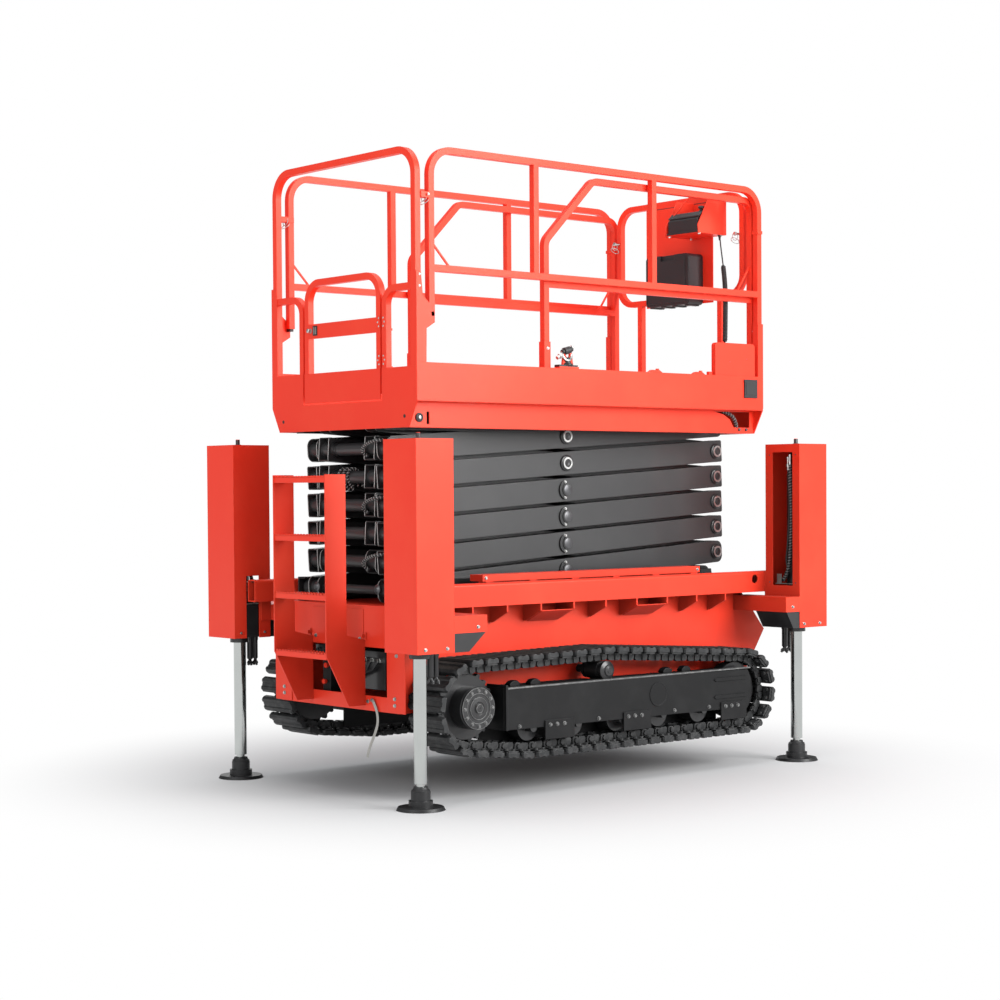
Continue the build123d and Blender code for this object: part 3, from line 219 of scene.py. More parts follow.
# %% An empty group, and the edge mask
def new_group(name, sockets):
    """An empty shader group with its inputs and outputs."""
    group = bpy.data.node_groups.new(name, "ShaderNodeTree")
    for title, way, kind, value in sockets:
        socket = group.interface.new_socket(title, in_out=way, socket_type=kind)
        if value is not None:
            socket.default_value = value
    return group, group.nodes.new("NodeGroupInput"), group.nodes.new("NodeGroupOutput")


soft_edge, source, target = new_group("soft edge", (
    ("Radius", "INPUT", "NodeSocketFloat", 0.002),
    ("Low", "INPUT", "NodeSocketFloat", 0.02),
    ("High", "INPUT", "NodeSocketFloat", 0.3),
    ("Mask", "OUTPUT", "NodeSocketFloat", None),
    ("Normal", "OUTPUT", "NodeSocketVector", None),
))
bevel = add_node(soft_edge, "ShaderNodeBevel", samples=4)
flat = add_node(soft_edge, "ShaderNodeNewGeometry")
facing = add_node(soft_edge, "ShaderNodeVectorMath", operation="DOT_PRODUCT")
turned = add_node(soft_edge, "ShaderNodeMath", {0: 1.0}, operation="SUBTRACT")
span = add_node(soft_edge, "ShaderNodeMapRange")
wire(soft_edge, (source, "Radius", bevel, "Radius"), (bevel, "Normal", facing, 0),
                (flat, "Normal", facing, 1), (facing, "Value", turned, 1), (turned, 0, span, "Value"),
                (source, "Low", span, "From Min"), (source, "High", span, "From Max"),
                (span, "Result", target, "Mask"), (bevel, "Normal", target, "Normal"))

# %% Grain
grain, source, target = new_group("grain", (
    ("Scale", "INPUT", "NodeSocketFloat", 200.0),
    ("Depth", "INPUT", "NodeSocketFloat", 0.1),
    ("Normal", "INPUT", "NodeSocketVector", None),
    ("Normal", "OUTPUT", "NodeSocketVector", None),
))
spot = add_node(grain, "ShaderNodeTexCoord")
noise = add_node(grain, "ShaderNodeTexNoise", {"Detail": 3.0})
bump = add_node(grain, "ShaderNodeBump", {"Distance": 0.001})
wire(grain, (spot, "Object", noise, "Vector"), (source, "Scale", noise, "Scale"),
            (noise, "Fac", bump, "Height"), (source, "Depth", bump, "Strength"),
            (source, "Normal", bump, "Normal"), (bump, "Normal", target, "Normal"))

# %% Mottling
mottle, source, target = new_group("mottling", (
    ("Scale", "INPUT", "NodeSocketFloat", 3.0),
    ("Low", "INPUT", "NodeSocketFloat", 0.45),
    ("High", "INPUT", "NodeSocketFloat", 0.7),
    ("Mask", "OUTPUT", "NodeSocketFloat", None),
))
spot = add_node(mottle, "ShaderNodeTexCoord")
noise = add_node(mottle, "ShaderNodeTexNoise", {"Detail": 6.0, "Roughness": 0.6})
span = add_node(mottle, "ShaderNodeMapRange")
wire(mottle, (spot, "Object", noise, "Vector"), (source, "Scale", noise, "Scale"),
             (noise, "Fac", span, "Value"), (source, "Low", span, "From Min"),
             (source, "High", span, "From Max"), (span, "Result", target, "Mask"))

print("node groups", [group.name for group in bpy.data.node_groups])

# %% [markdown]
# ## Finishes
# One table holds every finish of the machine. A row gives the base colour, what worn or dusty
# places turn to, the roughness of both, and how strong edges, grain and mottling are. Numbers that
# are the same all over a surface go straight on the shader's own sockets.

# %% A finish from one row of the table
def make_finish(name, base, worn, rough, metal=0.0, coat=0.0, edge=0.5, edge_mm=2.0, mottling=0.3,
                mottle_scale=3.0, grain_scale=220.0, grain_depth=0.05, shine=(1, 1, 1), specular=0.5):
    """A Principled material whose colour moves from base to worn at edges and in soft patches."""
    look = bpy.data.materials.new(name)
    look.use_nodes = True
    tree = look.node_tree
    shader = tree.nodes["Principled BSDF"]
    edges = add_node(tree, "ShaderNodeGroup", {"Radius": edge_mm / 1000}, node_tree=soft_edge)
    patches = add_node(tree, "ShaderNodeGroup", {"Scale": mottle_scale}, node_tree=mottle)
    skin = add_node(tree, "ShaderNodeGroup", {"Scale": grain_scale, "Depth": grain_depth}, node_tree=grain)
    edge_share = add_node(tree, "ShaderNodeMath", {1: edge}, operation="MULTIPLY")
    patch_share = add_node(tree, "ShaderNodeMath", {1: mottling}, operation="MULTIPLY_ADD", use_clamp=True)
    colour = add_node(tree, "ShaderNodeMix", {"A": (*base, 1), "B": (*worn, 1)}, data_type="RGBA")
    gloss = add_node(tree, "ShaderNodeMapRange", {"To Min": rough[0], "To Max": rough[1]})
    wire(tree, (edges, "Mask", edge_share, 0), (patches, "Mask", patch_share, 0),
               (edge_share, 0, patch_share, 2), (patch_share, 0, colour, "Factor"),
               (patch_share, 0, gloss, "Value"), (colour, "Result", shader, "Base Color"),
               (gloss, "Result", shader, "Roughness"), (edges, "Normal", skin, "Normal"),
               (skin, "Normal", shader, "Normal"))
    shader.inputs["Metallic"].default_value = metal
    shader.inputs["Coat Weight"].default_value = coat
    shader.inputs["Coat Roughness"].default_value = 0.12
    shader.inputs["Specular IOR Level"].default_value = specular
    shader.inputs["Specular Tint"].default_value = (*shine, 1)
    return look

# %% The table of finishes
FINISHES = {
    "red_paint": make_finish("red_paint", (0.82, 0.034, 0.014), (0.88, 0.075, 0.032), (0.42, 0.5), coat=0.05,
                             edge=0.55, edge_mm=2.5, mottling=0.25, grain_scale=160, grain_depth=0.03,
                             shine=(1.0, 0.72, 0.55)),
    "arm_black": make_finish("arm_black", (0.028, 0.028, 0.029), (0.09, 0.09, 0.088), (0.4, 0.52), coat=0.25,
                             edge=0.9, edge_mm=2.5, mottling=0.12, grain_depth=0.03),
    "black_steel": make_finish("black_steel", (0.013, 0.013, 0.014), (0.06, 0.06, 0.06), (0.34, 0.5), coat=0.25,
                               edge=0.6, edge_mm=2.0, mottling=0.2, mottle_scale=7, grain_depth=0.05),
    # darker and less glossy than black_steel; its lower colour is partly painted shade on the track frames
    "frame_black_and_shade": make_finish("frame_black_and_shade", (0.006, 0.006, 0.0065), (0.04, 0.04, 0.04), (0.5, 0.62), edge=0.6,
                               edge_mm=2.5, mottling=0.15, mottle_scale=7, specular=0.25),
    "track_steel": make_finish("track_steel", (0.016, 0.017, 0.018), (0.16, 0.158, 0.155), (0.45, 0.35), metal=0.1,
                               edge=0.55, edge_mm=2.5, mottling=0.25, mottle_scale=30, grain_scale=120,
                               grain_depth=0.25),
    "chrome_rod": make_finish("chrome_rod", (0.52, 0.54, 0.53), (0.42, 0.44, 0.43), (0.09, 0.15), metal=1.0,
                              edge=0.2, mottling=0.2, mottle_scale=9, grain_depth=0.0),
    "pad_black": make_finish("pad_black", (0.014, 0.014, 0.015), (0.05, 0.05, 0.05), (0.4, 0.55), edge=0.5,
                             mottling=0.3, mottle_scale=14, grain_scale=90, grain_depth=0.1),
    "plastic_black": make_finish("plastic_black", (0.018, 0.018, 0.02), (0.04, 0.04, 0.042), (0.42, 0.55),
                                 edge=0.4, edge_mm=3.0, mottling=0.15, grain_scale=900, grain_depth=0.15),
    "rubber": make_finish("rubber", (0.015, 0.015, 0.016), (0.04, 0.04, 0.04), (0.5, 0.7), edge=0.3,
                          mottling=0.3, mottle_scale=40, grain_scale=500, grain_depth=0.1),
    "zinc": make_finish("zinc", (0.55, 0.55, 0.54), (0.75, 0.75, 0.73), (0.3, 0.4), metal=1.0, edge=0.5,
                        edge_mm=1.0, mottling=0.4, mottle_scale=60, grain_depth=0.05),
    # a light metal finish for thin tubes that are painted highlights: round the arms' cut ends and along the hose
    # wraps
    "highlight_edge": make_finish("highlight_edge", (0.42, 0.42, 0.41), (0.6, 0.6, 0.58), (0.35, 0.45), metal=0.3,
                             mottling=0.5, mottle_scale=20),
    "dull_steel": make_finish("dull_steel", (0.10, 0.10, 0.105), (0.2, 0.2, 0.2), (0.3, 0.42), metal=0.7,
                              mottling=0.4, mottle_scale=40),
    # worn steel for bolts; on the hub's rings and the frame's top strip it is a painted highlight
    "worn_steel_and_highlight": make_finish("worn_steel_and_highlight", (0.12, 0.12, 0.12), (0.3, 0.3, 0.29), (0.35, 0.5), metal=0.4,
                              mottling=0.7, mottle_scale=60),
    "braid": make_finish("braid", (0.42, 0.41, 0.38), (0.62, 0.6, 0.56), (0.45, 0.6), metal=0.5, edge=0.3,
                         mottling=0.6, mottle_scale=150, grain_scale=700, grain_depth=0.6),
}
print("finishes", len(FINISHES))

# %% [markdown]
# A red machine throws red light on a white floor and on the tracks, more than one wants to see. So
# the paint on everything below the deck looks almost grey to the rays that carry bounced light. The
# ray that comes from the eye still meets red, so the paint itself doesn't change.

# %% Grey in bounced light, for the sake of floor and tracks
DECK_HEIGHT = 1.0                       # metres
BOUNCE_GREY = (0.12, 0.085, 0.08, 1)
tree = FINISHES["red_paint"].node_tree
seen = add_node(tree, "ShaderNodeLightPath")
spot = add_node(tree, "ShaderNodeNewGeometry")
split = add_node(tree, "ShaderNodeSeparateXYZ")
below_deck = add_node(tree, "ShaderNodeMath", {1: DECK_HEIGHT}, operation="LESS_THAN")
bounced = add_node(tree, "ShaderNodeMath", {0: 1.0}, operation="SUBTRACT")
muted = add_node(tree, "ShaderNodeMath", operation="MULTIPLY")
plain = add_node(tree, "ShaderNodeMix", {"B": BOUNCE_GREY}, data_type="RGBA")
shader = tree.nodes["Principled BSDF"]
painted = shader.inputs["Base Color"].links[0].from_socket
wire(tree, (spot, "Position", split, 0), (split, "Z", below_deck, 0), (below_deck, 0, muted, 0),
           (seen, "Is Camera Ray", bounced, 1), (bounced, 0, muted, 1), (muted, 0, plain, "Factor"))
tree.links.new(painted, plain.inputs["A"])
wire(tree, (plain, "Result", shader, "Base Color"))
print("bounced light below", DECK_HEIGHT, "m is grey")

# %% [markdown]
# ## Which finish each solid wears
# Paint covers everything that is folded sheet or tube. The scissor arms are black with a silky
# sheen, rods are ground chrome, and the crawler is oily steel.

# %% Dress the solids
NODE_FINISH = (
    # start of the node's name, finish
    ("leg_rod", "chrome_rod"), ("lift_rod", "chrome_rod"), ("foot_pad", "pad_black"),
    ("leg_barrels", "black_steel"), ("leg_gussets", "black_steel"), ("slide_channels", "black_steel"),
    ("base_pivot", "black_steel"), ("platform_channels", "black_steel"), ("lift_barrel", "black_steel"),
    ("track_frame", "frame_black_and_shade"), ("track_wheels", "black_steel"), ("track_", "track_steel"),
    ("inner_arms", "arm_black"), ("outer_arms", "arm_black"), ("control_box", "plastic_black"),
    ("carrying_case", "plastic_black"), ("socket_plate", "plastic_black"), ("control_cord", "rubber"),
    ("earth_strap", "braid"), ("", "red_paint"),
)


def finish_of(node):
    """The first row of the table whose start fits the node."""
    return next(finish for start, finish in NODE_FINISH if node.startswith(start))


for node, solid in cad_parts.items():
    solid.data.materials.clear()
    solid.data.materials.append(FINISHES[finish_of(node)])

# %% [markdown]
# ## Building blocks
# Most added pieces are cut sheet, bar and turned parts. A few helpers add such forms to one mesh,
# and `piece` makes the mesh an object that rides on its body. A small Bevel modifier breaks the
# edges, because real sheet metal never has a perfectly sharp edge.

# %% Forms that are added to a mesh
def add_block(shape, x0, x1, y0, y1, z0, z1):
    """A block between two corners."""
    corners = [shape.verts.new(place(x, y, z)) for x in (x0, x1) for y in (y0, y1) for z in (z0, z1)]
    for ring in ((0, 1, 3, 2), (4, 6, 7, 5), (0, 4, 5, 1), (2, 3, 7, 6), (0, 2, 6, 4), (1, 5, 7, 3)):
        shape.faces.new([corners[i] for i in ring])


def add_prism(shape, outline, axis, low, high):
    """A flat outline drawn square to an axis and given a thickness along it."""
    order = {"x": lambda a, b, c: (c, a, b), "y": lambda a, b, c: (a, c, b), "z": lambda a, b,
             c: (a, b, c)}[axis]
    rings = [[shape.verts.new(place(*order(a, b, level))) for a, b in outline] for level in (low, high)]
    shape.faces.new(rings[0])
    shape.faces.new(rings[1][::-1])
    for i in range(len(outline)):
        j = (i + 1) % len(outline)
        shape.faces.new((rings[0][i], rings[1][i], rings[1][j], rings[0][j]))


def add_turned(shape, start, aim, steps, sides=24):
    """A turned part: steps are (distance along the aim, radius), and a closed end has no radius."""
    across = aim.orthogonal().normalized()
    other = aim.cross(across)
    rings = []
    for distance, radius in steps:
        centre = start + aim * distance / 1000
        turns = [2 * math.pi * i / sides for i in range(sides)]
        rings.append([shape.verts.new(centre + (across * math.cos(t) + other * math.sin(t)) * radius / 1000)
                      for t in turns])
    for low, high in zip(rings, rings[1:]):
        for i in range(sides):
            j = (i + 1) % sides
            shape.faces.new((low[i], low[j], high[j], high[i]))
    shape.faces.new(rings[0][::-1])
    shape.faces.new(rings[-1])

# %% Points on a circle, and tubes
def circle_points(centre, radius, count, axis="y", turn=0.0):
    """Points on a circle that is square to an axis."""
    x, y, z = centre
    points = []
    for i in range(count):
        a = turn + 2 * math.pi * i / count
        c, s = radius * math.cos(a), radius * math.sin(a)
        points.append({"x": (x, y + c, z + s), "y": (x + c, y, z + s), "z": (x + c, y + s, z)}[axis])
    return points


def add_tube(shape, points, radius, closed=False, sides=8):
    """A thin round tube through points, its sections turned as little as possible."""
    rings, across = [], None
    for i, point in enumerate(points):
        after = points[(i + 1) % len(points)] if closed or i + 1 < len(points) else point
        before = points[i - 1] if closed or i else point
        ahead = (after - before).normalized()
        across = (ahead.orthogonal() if across is None else across - ahead * across.dot(ahead)).normalized()
        other = ahead.cross(across)
        turns = [2 * math.pi * k / sides for k in range(sides)]
        rings.append([shape.verts.new(point + (across * math.cos(t) + other * math.sin(t)) * radius / 1000)
                      for t in turns])
    for low, high in zip(rings, rings[1:] + rings[:1] if closed else rings[1:]):
        for k in range(sides):
            shape.faces.new((low[k], low[(k + 1) % sides], high[(k + 1) % sides], high[k]))
    if not closed:
        shape.faces.new(rings[0][::-1])
        shape.faces.new(rings[-1])

# %% From a mesh to a piece of the machine
made = []       # the names of the pieces that no cell has told of yet


def tell(title):
    """Prints the pieces that have come since the last call."""
    print(f"{title}: {', '.join(made)}")
    made.clear()


def piece(name, shape, look, body, bevel=1.0, smooth=True):
    """Turns the mesh's faces outwards, makes it an object and hangs it on a body."""
    bmesh.ops.recalc_face_normals(shape, faces=shape.faces)
    mesh = bpy.data.meshes.new(name)
    shape.to_mesh(mesh)
    shape.free()
    mesh.materials.append(FINISHES[look])
    thing = bpy.data.objects.new(name, mesh)
    bpy.context.scene.collection.objects.link(thing)
    if smooth:
        mesh.shade_smooth()
        mesh.set_sharp_from_angle(angle=math.radians(35))
    if bevel:
        softener = thing.modifiers.new("soft edges", "BEVEL")
        softener.width = bevel / 1000
        softener.segments = 2
        softener.angle_limit = math.radians(40)
        softener.harden_normals = True
    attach(thing, body)
    made.append(name)
    return thing


def evaluated(name, source, body):
    """The evaluated mesh of a helper object as a plain piece; the helper and its modifier go away."""
    graph = bpy.context.evaluated_depsgraph_get()
    mesh = bpy.data.meshes.new_from_object(source.evaluated_get(graph))
    mesh.name = name
    thing = bpy.data.objects.new(name, mesh)
    bpy.context.scene.collection.objects.link(thing)
    bpy.data.objects.remove(source)
    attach(thing, body)
    made.append(name)
    return thing

# %% [markdown]
# ## Fasteners
# Bolts and rivets repeat all over the machine. One Geometry Nodes tree makes them: a head on a
# washer is put on every point of a mesh, and turned to the direction that the point carries in an
# attribute. A tree is better than copies here, since one change of an input changes every head.

# %% A tree that puts a fastener on every point
def socket_id(tree, name):
    """The identifier by which a modifier knows an input of its tree."""
    return next(item.identifier for item in tree.interface.items_tree
                if item.item_type == "SOCKET" and item.in_out == "INPUT" and item.name == name)


def geometry_tree(name, inputs):
    """An empty Geometry Nodes tree with a mesh in, a mesh out and named inputs."""
    tree = bpy.data.node_groups.new(name, "GeometryNodeTree")
    tree.interface.new_socket("Geometry", in_out="INPUT", socket_type="NodeSocketGeometry")
    for title, kind in inputs:
        tree.interface.new_socket(title, in_out="INPUT", socket_type=kind)
    tree.interface.new_socket("Geometry", in_out="OUTPUT", socket_type="NodeSocketGeometry")
    return tree, tree.nodes.new("NodeGroupInput"), tree.nodes.new("NodeGroupOutput")


def run_tree(helper, tree, values):
    """Hangs a tree on an object as a modifier, with the tree's inputs set by their names."""
    maker = helper.modifiers.new(tree.name, "NODES")
    maker.node_group = tree
    for title, value in values.items():
        maker[socket_id(tree, title)] = value

# %% The fasteners' tree
FASTENER_INPUTS = (
    ("Head Sides", "NodeSocketInt"), ("Head Radius", "NodeSocketFloat"), ("Top Radius", "NodeSocketFloat"),
    ("Head Height", "NodeSocketFloat"), ("Washer Radius", "NodeSocketFloat"),
    ("Washer Height", "NodeSocketFloat"), ("Material", "NodeSocketMaterial"),
)
fastener_tree, source, target = geometry_tree("fastener", FASTENER_INPUTS)
washer = add_node(fastener_tree, "GeometryNodeMeshCylinder", {"Vertices": 16})
head = add_node(fastener_tree, "GeometryNodeMeshCone")
lift_washer = add_node(fastener_tree, "GeometryNodeTransform")
lift_head = add_node(fastener_tree, "GeometryNodeTransform")
half_washer = add_node(fastener_tree, "ShaderNodeMath", {1: 0.5}, operation="MULTIPLY")
washer_offset = add_node(fastener_tree, "ShaderNodeCombineXYZ")
head_offset = add_node(fastener_tree, "ShaderNodeCombineXYZ")
both = add_node(fastener_tree, "GeometryNodeJoinGeometry")
aim = add_node(fastener_tree, "GeometryNodeInputNamedAttribute", {"Name": "aim"}, data_type="FLOAT_VECTOR")
turned = add_node(fastener_tree, "FunctionNodeAlignRotationToVector", axis="Z")
spread = add_node(fastener_tree, "GeometryNodeInstanceOnPoints")
real = add_node(fastener_tree, "GeometryNodeRealizeInstances")
coat = add_node(fastener_tree, "GeometryNodeSetMaterial")
wire(fastener_tree, (source, "Washer Radius", washer, "Radius"), (source, "Washer Height", washer, "Depth"),
                    (source, "Washer Height", half_washer, 0), (half_washer, 0, washer_offset, "Z"),
                    (washer_offset, 0, lift_washer, "Translation"),
                    (washer, "Mesh", lift_washer, "Geometry"), (source, "Head Sides", head, "Vertices"),
                    (source, "Head Radius", head, "Radius Bottom"),
                    (source, "Top Radius", head, "Radius Top"), (source, "Head Height", head, "Depth"),
                    (source, "Washer Height", head_offset, "Z"), (head_offset, 0, lift_head, "Translation"),
                    (head, "Mesh", lift_head, "Geometry"), (lift_washer, 0, both, 0),
                    (lift_head, 0, both, 0), (source, "Geometry", spread, "Points"),
                    (both, 0, spread, "Instance"), (aim, "Attribute", turned, "Vector"),
                    (turned, 0, spread, "Rotation"), (spread, 0, real, 0), (real, 0, coat, "Geometry"),
                    (source, "Material", coat, "Material"), (coat, 0, target, 0))

# %% Fasteners by kind
FASTENERS = {
    # kind: (sides, head radius, top radius, head height, washer radius, washer height) over the size
    "hex": (6, 1.0, 0.96, 0.75, 1.25, 0.18),
    "cap": (16, 1.0, 0.92, 0.9, 1.2, 0.15),
    "rivet": (14, 1.0, 0.45, 0.42, 1.02, 0.06),
}


def outward(side):
    """The aim of a head on a left (1) or right (-1) side face."""
    return "+y" if side > 0 else "-y"


def fasteners(name, body, rows, radius, kind="hex", look="zinc"):
    """A piece made of fastener heads; a row is (x, y, z, aim), with the aim a letter and a sign."""
    aims = {"+x": (1, 0, 0), "-x": (-1, 0, 0), "+y": (0, 1, 0), "-y": (0, -1, 0), "+z": (0, 0, 1),
            "-z": (0, 0, -1)}
    mesh = bpy.data.meshes.new(name + "_points")
    mesh.from_pydata([place(*row[:3]) for row in rows], [], [])
    directions = mesh.attributes.new("aim", "FLOAT_VECTOR", "POINT")
    for item, row in zip(directions.data, rows):
        item.vector = aims[row[3]]
    helper = bpy.data.objects.new(name + "_points", mesh)
    bpy.context.scene.collection.objects.link(helper)
    sides, *ratios = FASTENERS[kind]
    values = {title: radius * ratio / 1000 for (title, _), ratio in zip(FASTENER_INPUTS[1:6], ratios)}
    run_tree(helper, fastener_tree, {"Head Sides": sides, **values, "Material": FINISHES[look]})
    return evaluated(name, helper, body)

# %% [markdown]
# ## Hoses
# A hydraulic hose has a plain skin, and where it may rub it wears a spiral wrap. A hose follows a
# smooth curve through a few points, and a Geometry Nodes tree gives it its section. The wrap is the
# same tree with a radius that swells along the length, like the turns of the spiral. A thin thread in
# a light finish winds along its edge: a painted highlight, standing in for the glints on the turns.

# %% A tree that turns a curve into a hose
WRAP_PITCH, WRAP_SWELL = 0.014, 0.12      # metres along the hose, and share of its radius
GLINT_RADIUS, GLINT_RISE = 1.3, 0.6     # of the painted highlight thread on the wrap's edge, in millimetres
HOSE_INPUTS = (
    ("Radius", "NodeSocketFloat"), ("Swell", "NodeSocketFloat"), ("Pitch", "NodeSocketFloat"),
    ("Step", "NodeSocketFloat"), ("Material", "NodeSocketMaterial"),
)
hose_tree, source, target = geometry_tree("hose", HOSE_INPUTS)
even = add_node(hose_tree, "GeometryNodeResampleCurve", mode="LENGTH")
run = add_node(hose_tree, "GeometryNodeSplineParameter")
turns = add_node(hose_tree, "ShaderNodeMath", operation="DIVIDE")
saw = add_node(hose_tree, "ShaderNodeMath", operation="FRACT")
swell = add_node(hose_tree, "ShaderNodeMath", {2: 1.0}, operation="MULTIPLY_ADD")
widen = add_node(hose_tree, "GeometryNodeSetCurveRadius")
ring = add_node(hose_tree, "GeometryNodeCurvePrimitiveCircle", {"Resolution": 12})
skin = add_node(hose_tree, "GeometryNodeCurveToMesh", {"Fill Caps": True})
round_off = add_node(hose_tree, "GeometryNodeSetShadeSmooth")
real = add_node(hose_tree, "GeometryNodeRealizeInstances")
coat = add_node(hose_tree, "GeometryNodeSetMaterial")
wire(hose_tree, (source, "Geometry", even, "Curve"), (source, "Step", even, "Length"),
                (run, "Length", turns, 0), (source, "Pitch", turns, 1), (turns, 0, saw, 0),
                (saw, 0, swell, 0), (source, "Swell", swell, 1), (even, "Curve", widen, "Curve"),
                (swell, 0, widen, "Radius"), (source, "Radius", ring, "Radius"),
                (widen, "Curve", skin, "Curve"), (ring, "Curve", skin, "Profile Curve"))
if "Scale" in skin.inputs:
    wire(hose_tree, (swell, 0, skin, "Scale"))
wire(hose_tree, (skin, "Mesh", round_off, "Geometry"), (round_off, 0, real, 0), (real, 0, coat, "Geometry"),
                (source, "Material", coat, "Material"), (coat, 0, target, 0))

# %% Lines that a hose follows
def smooth_curve(name, points):
    """An open NURBS line with the points as its control points."""
    line = bpy.data.curves.new(name, "CURVE")
    line.dimensions = "3D"
    spline = line.splines.new("NURBS")
    spline.points.add(len(points) - 1)
    for slot, point in zip(spline.points, points):
        slot.co = (*point, 1)
    spline.order_u = 3
    spline.use_endpoint_u = True
    spline.resolution_u = 12
    holder = bpy.data.objects.new(name, line)
    bpy.context.scene.collection.objects.link(holder)
    return holder


def line_points(name, route):
    """Points along the NURBS line whose control points are the route, in metres."""
    holder = smooth_curve(name, route)
    holder.data.resolution_u = 24
    holder.data.splines[0].resolution_u = 24
    graph = bpy.context.evaluated_depsgraph_get()
    mesh = bpy.data.meshes.new_from_object(holder.evaluated_get(graph))
    points = [vertex.co.copy() for vertex in mesh.vertices]
    bpy.data.objects.remove(holder)
    bpy.data.meshes.remove(mesh)
    return points


def at_distance(points, distance):
    """The point and direction at a distance along a line of points."""
    for low, high in zip(points, points[1:]):
        step = (high - low).length
        if distance <= step:
            return low + (high - low) * distance / step, (high - low).normalized()
        distance -= step
    return points[-1].copy(), (points[-1] - points[-2]).normalized()


def spline_length(points):
    """Length of a line of points."""
    return sum((high - low).length for low, high in zip(points, points[1:]))

# %% A hose and its wrap
def spiral(name, body, points, radius, steps=10):
    """A painted highlight on a wrap: a thin light thread wound about the line through the points."""
    line = line_points(name + "_line", [place(*p) for p in points])
    wound, glint_tube, reach = [], bmesh.new(), (radius + GLINT_RISE) / 1000
    across = Vector((0.3, 0.2, 1)).normalized()
    for i in range(int(spline_length(line) / WRAP_PITCH * steps)):
        centre, ahead = at_distance(line, i * WRAP_PITCH / steps)
        across = (across - ahead * across.dot(ahead)).normalized()
        angle = 2 * math.pi * i / steps
        wound.append(centre + (across * math.cos(angle) + ahead.cross(across) * math.sin(angle)) * reach)
    add_tube(glint_tube, wound, GLINT_RADIUS, sides=5)
    # painted highlight: the thread's light finish stands in for the glints on the wrap's turns
    piece(name, glint_tube, "highlight_edge", body, bevel=0)


def hose(name, body, points, radius, wrapped=False, look="rubber"):
    """A hose through control points in millimetres."""
    helper = smooth_curve(name + "_line", [place(*p) for p in points])
    run_tree(helper, hose_tree, {
        "Radius": radius / 1000, "Swell": WRAP_SWELL if wrapped else 0.0, "Pitch": WRAP_PITCH,
        "Step": WRAP_PITCH / 4 if wrapped else 0.012, "Material": FINISHES[look],
    })
    if wrapped:
        spiral(f"{name}_wrap", body, points, radius)
    return evaluated(name, helper, body)

# %% [markdown]
# ## Crawler tracks
# A crawler is a roller chain with a thick pad bolted on every link. It could be an Array modifier on
# a curve, but that stretches the links on the bends. Here the places of the links are worked out
# along a belt round the wheels, and Geometry Nodes put one rigid link on each, turned to its place.

# %% The belt that the links follow
TRACK_Y = 565
LINK_COUNT = 52
BELT = (
    # x, z and radius of each wheel, to the outer face of the pads
    (-862, 404, 213), (-560, 220, 60), (620, 220, 60), (833, 366, 206), (-60, 530, 100),
)
PAD_THICKNESS = 24


def belt_stretches(circles):
    """Straight stretch after each wheel: start, end and the angle it faces."""
    found = []
    for (x0, z0, r0), (x1, z1, r1) in zip(circles, circles[1:] + circles[:1]):
        run = math.hypot(x1 - x0, z1 - z0)
        face = math.atan2(z1 - z0, x1 - x0) + math.asin((r0 - r1) / run) - math.pi / 2
        found.append(((x0 + r0 * math.cos(face), z0 + r0 * math.sin(face)),
                      (x1 + r1 * math.cos(face), z1 + r1 * math.sin(face)), face))
    return found


def belt_places(circles, count):
    """Evenly spaced places on the belt, as x, z and the angle that each faces."""
    stretches = belt_stretches(circles)
    legs = []
    for i, (start, end, face) in enumerate(stretches):
        x, z, radius = circles[(i + 1) % len(circles)]
        turn = (stretches[(i + 1) % len(stretches)][2] - face + math.pi) % (2 * math.pi) - math.pi
        legs.append((math.dist(start, end), lambda s, a=start, b=end, f=face: (
            a[0] + (b[0] - a[0]) * s, a[1] + (b[1] - a[1]) * s, f)))
        legs.append((abs(turn) * radius, lambda s, x=x, z=z, r=radius, f=face, t=turn: (
            x + r * math.cos(f + t * s), z + r * math.sin(f + t * s), f + t * s)))
    total = sum(length for length, _ in legs)
    places = []
    for i in range(count):
        rest = (i + 0.5) * total / count
        for length, point in legs:
            if rest <= length:
                places.append(point(rest / length))
                break
            rest -= length
    return places, total / count


PAD_LINE = [(x, z, r - PAD_THICKNESS) for x, z, r in BELT]
LINK_PLACES, LINK_PITCH = belt_places(PAD_LINE, LINK_COUNT)
print("track pitch", round(LINK_PITCH, 1), "mm")

# %% [markdown]
# One link is a pad with chamfered ends and a shallow groove, two overlapping side bars, the pin
# bushing between them, and four nuts. It has few faces, since there are 52 on each side.

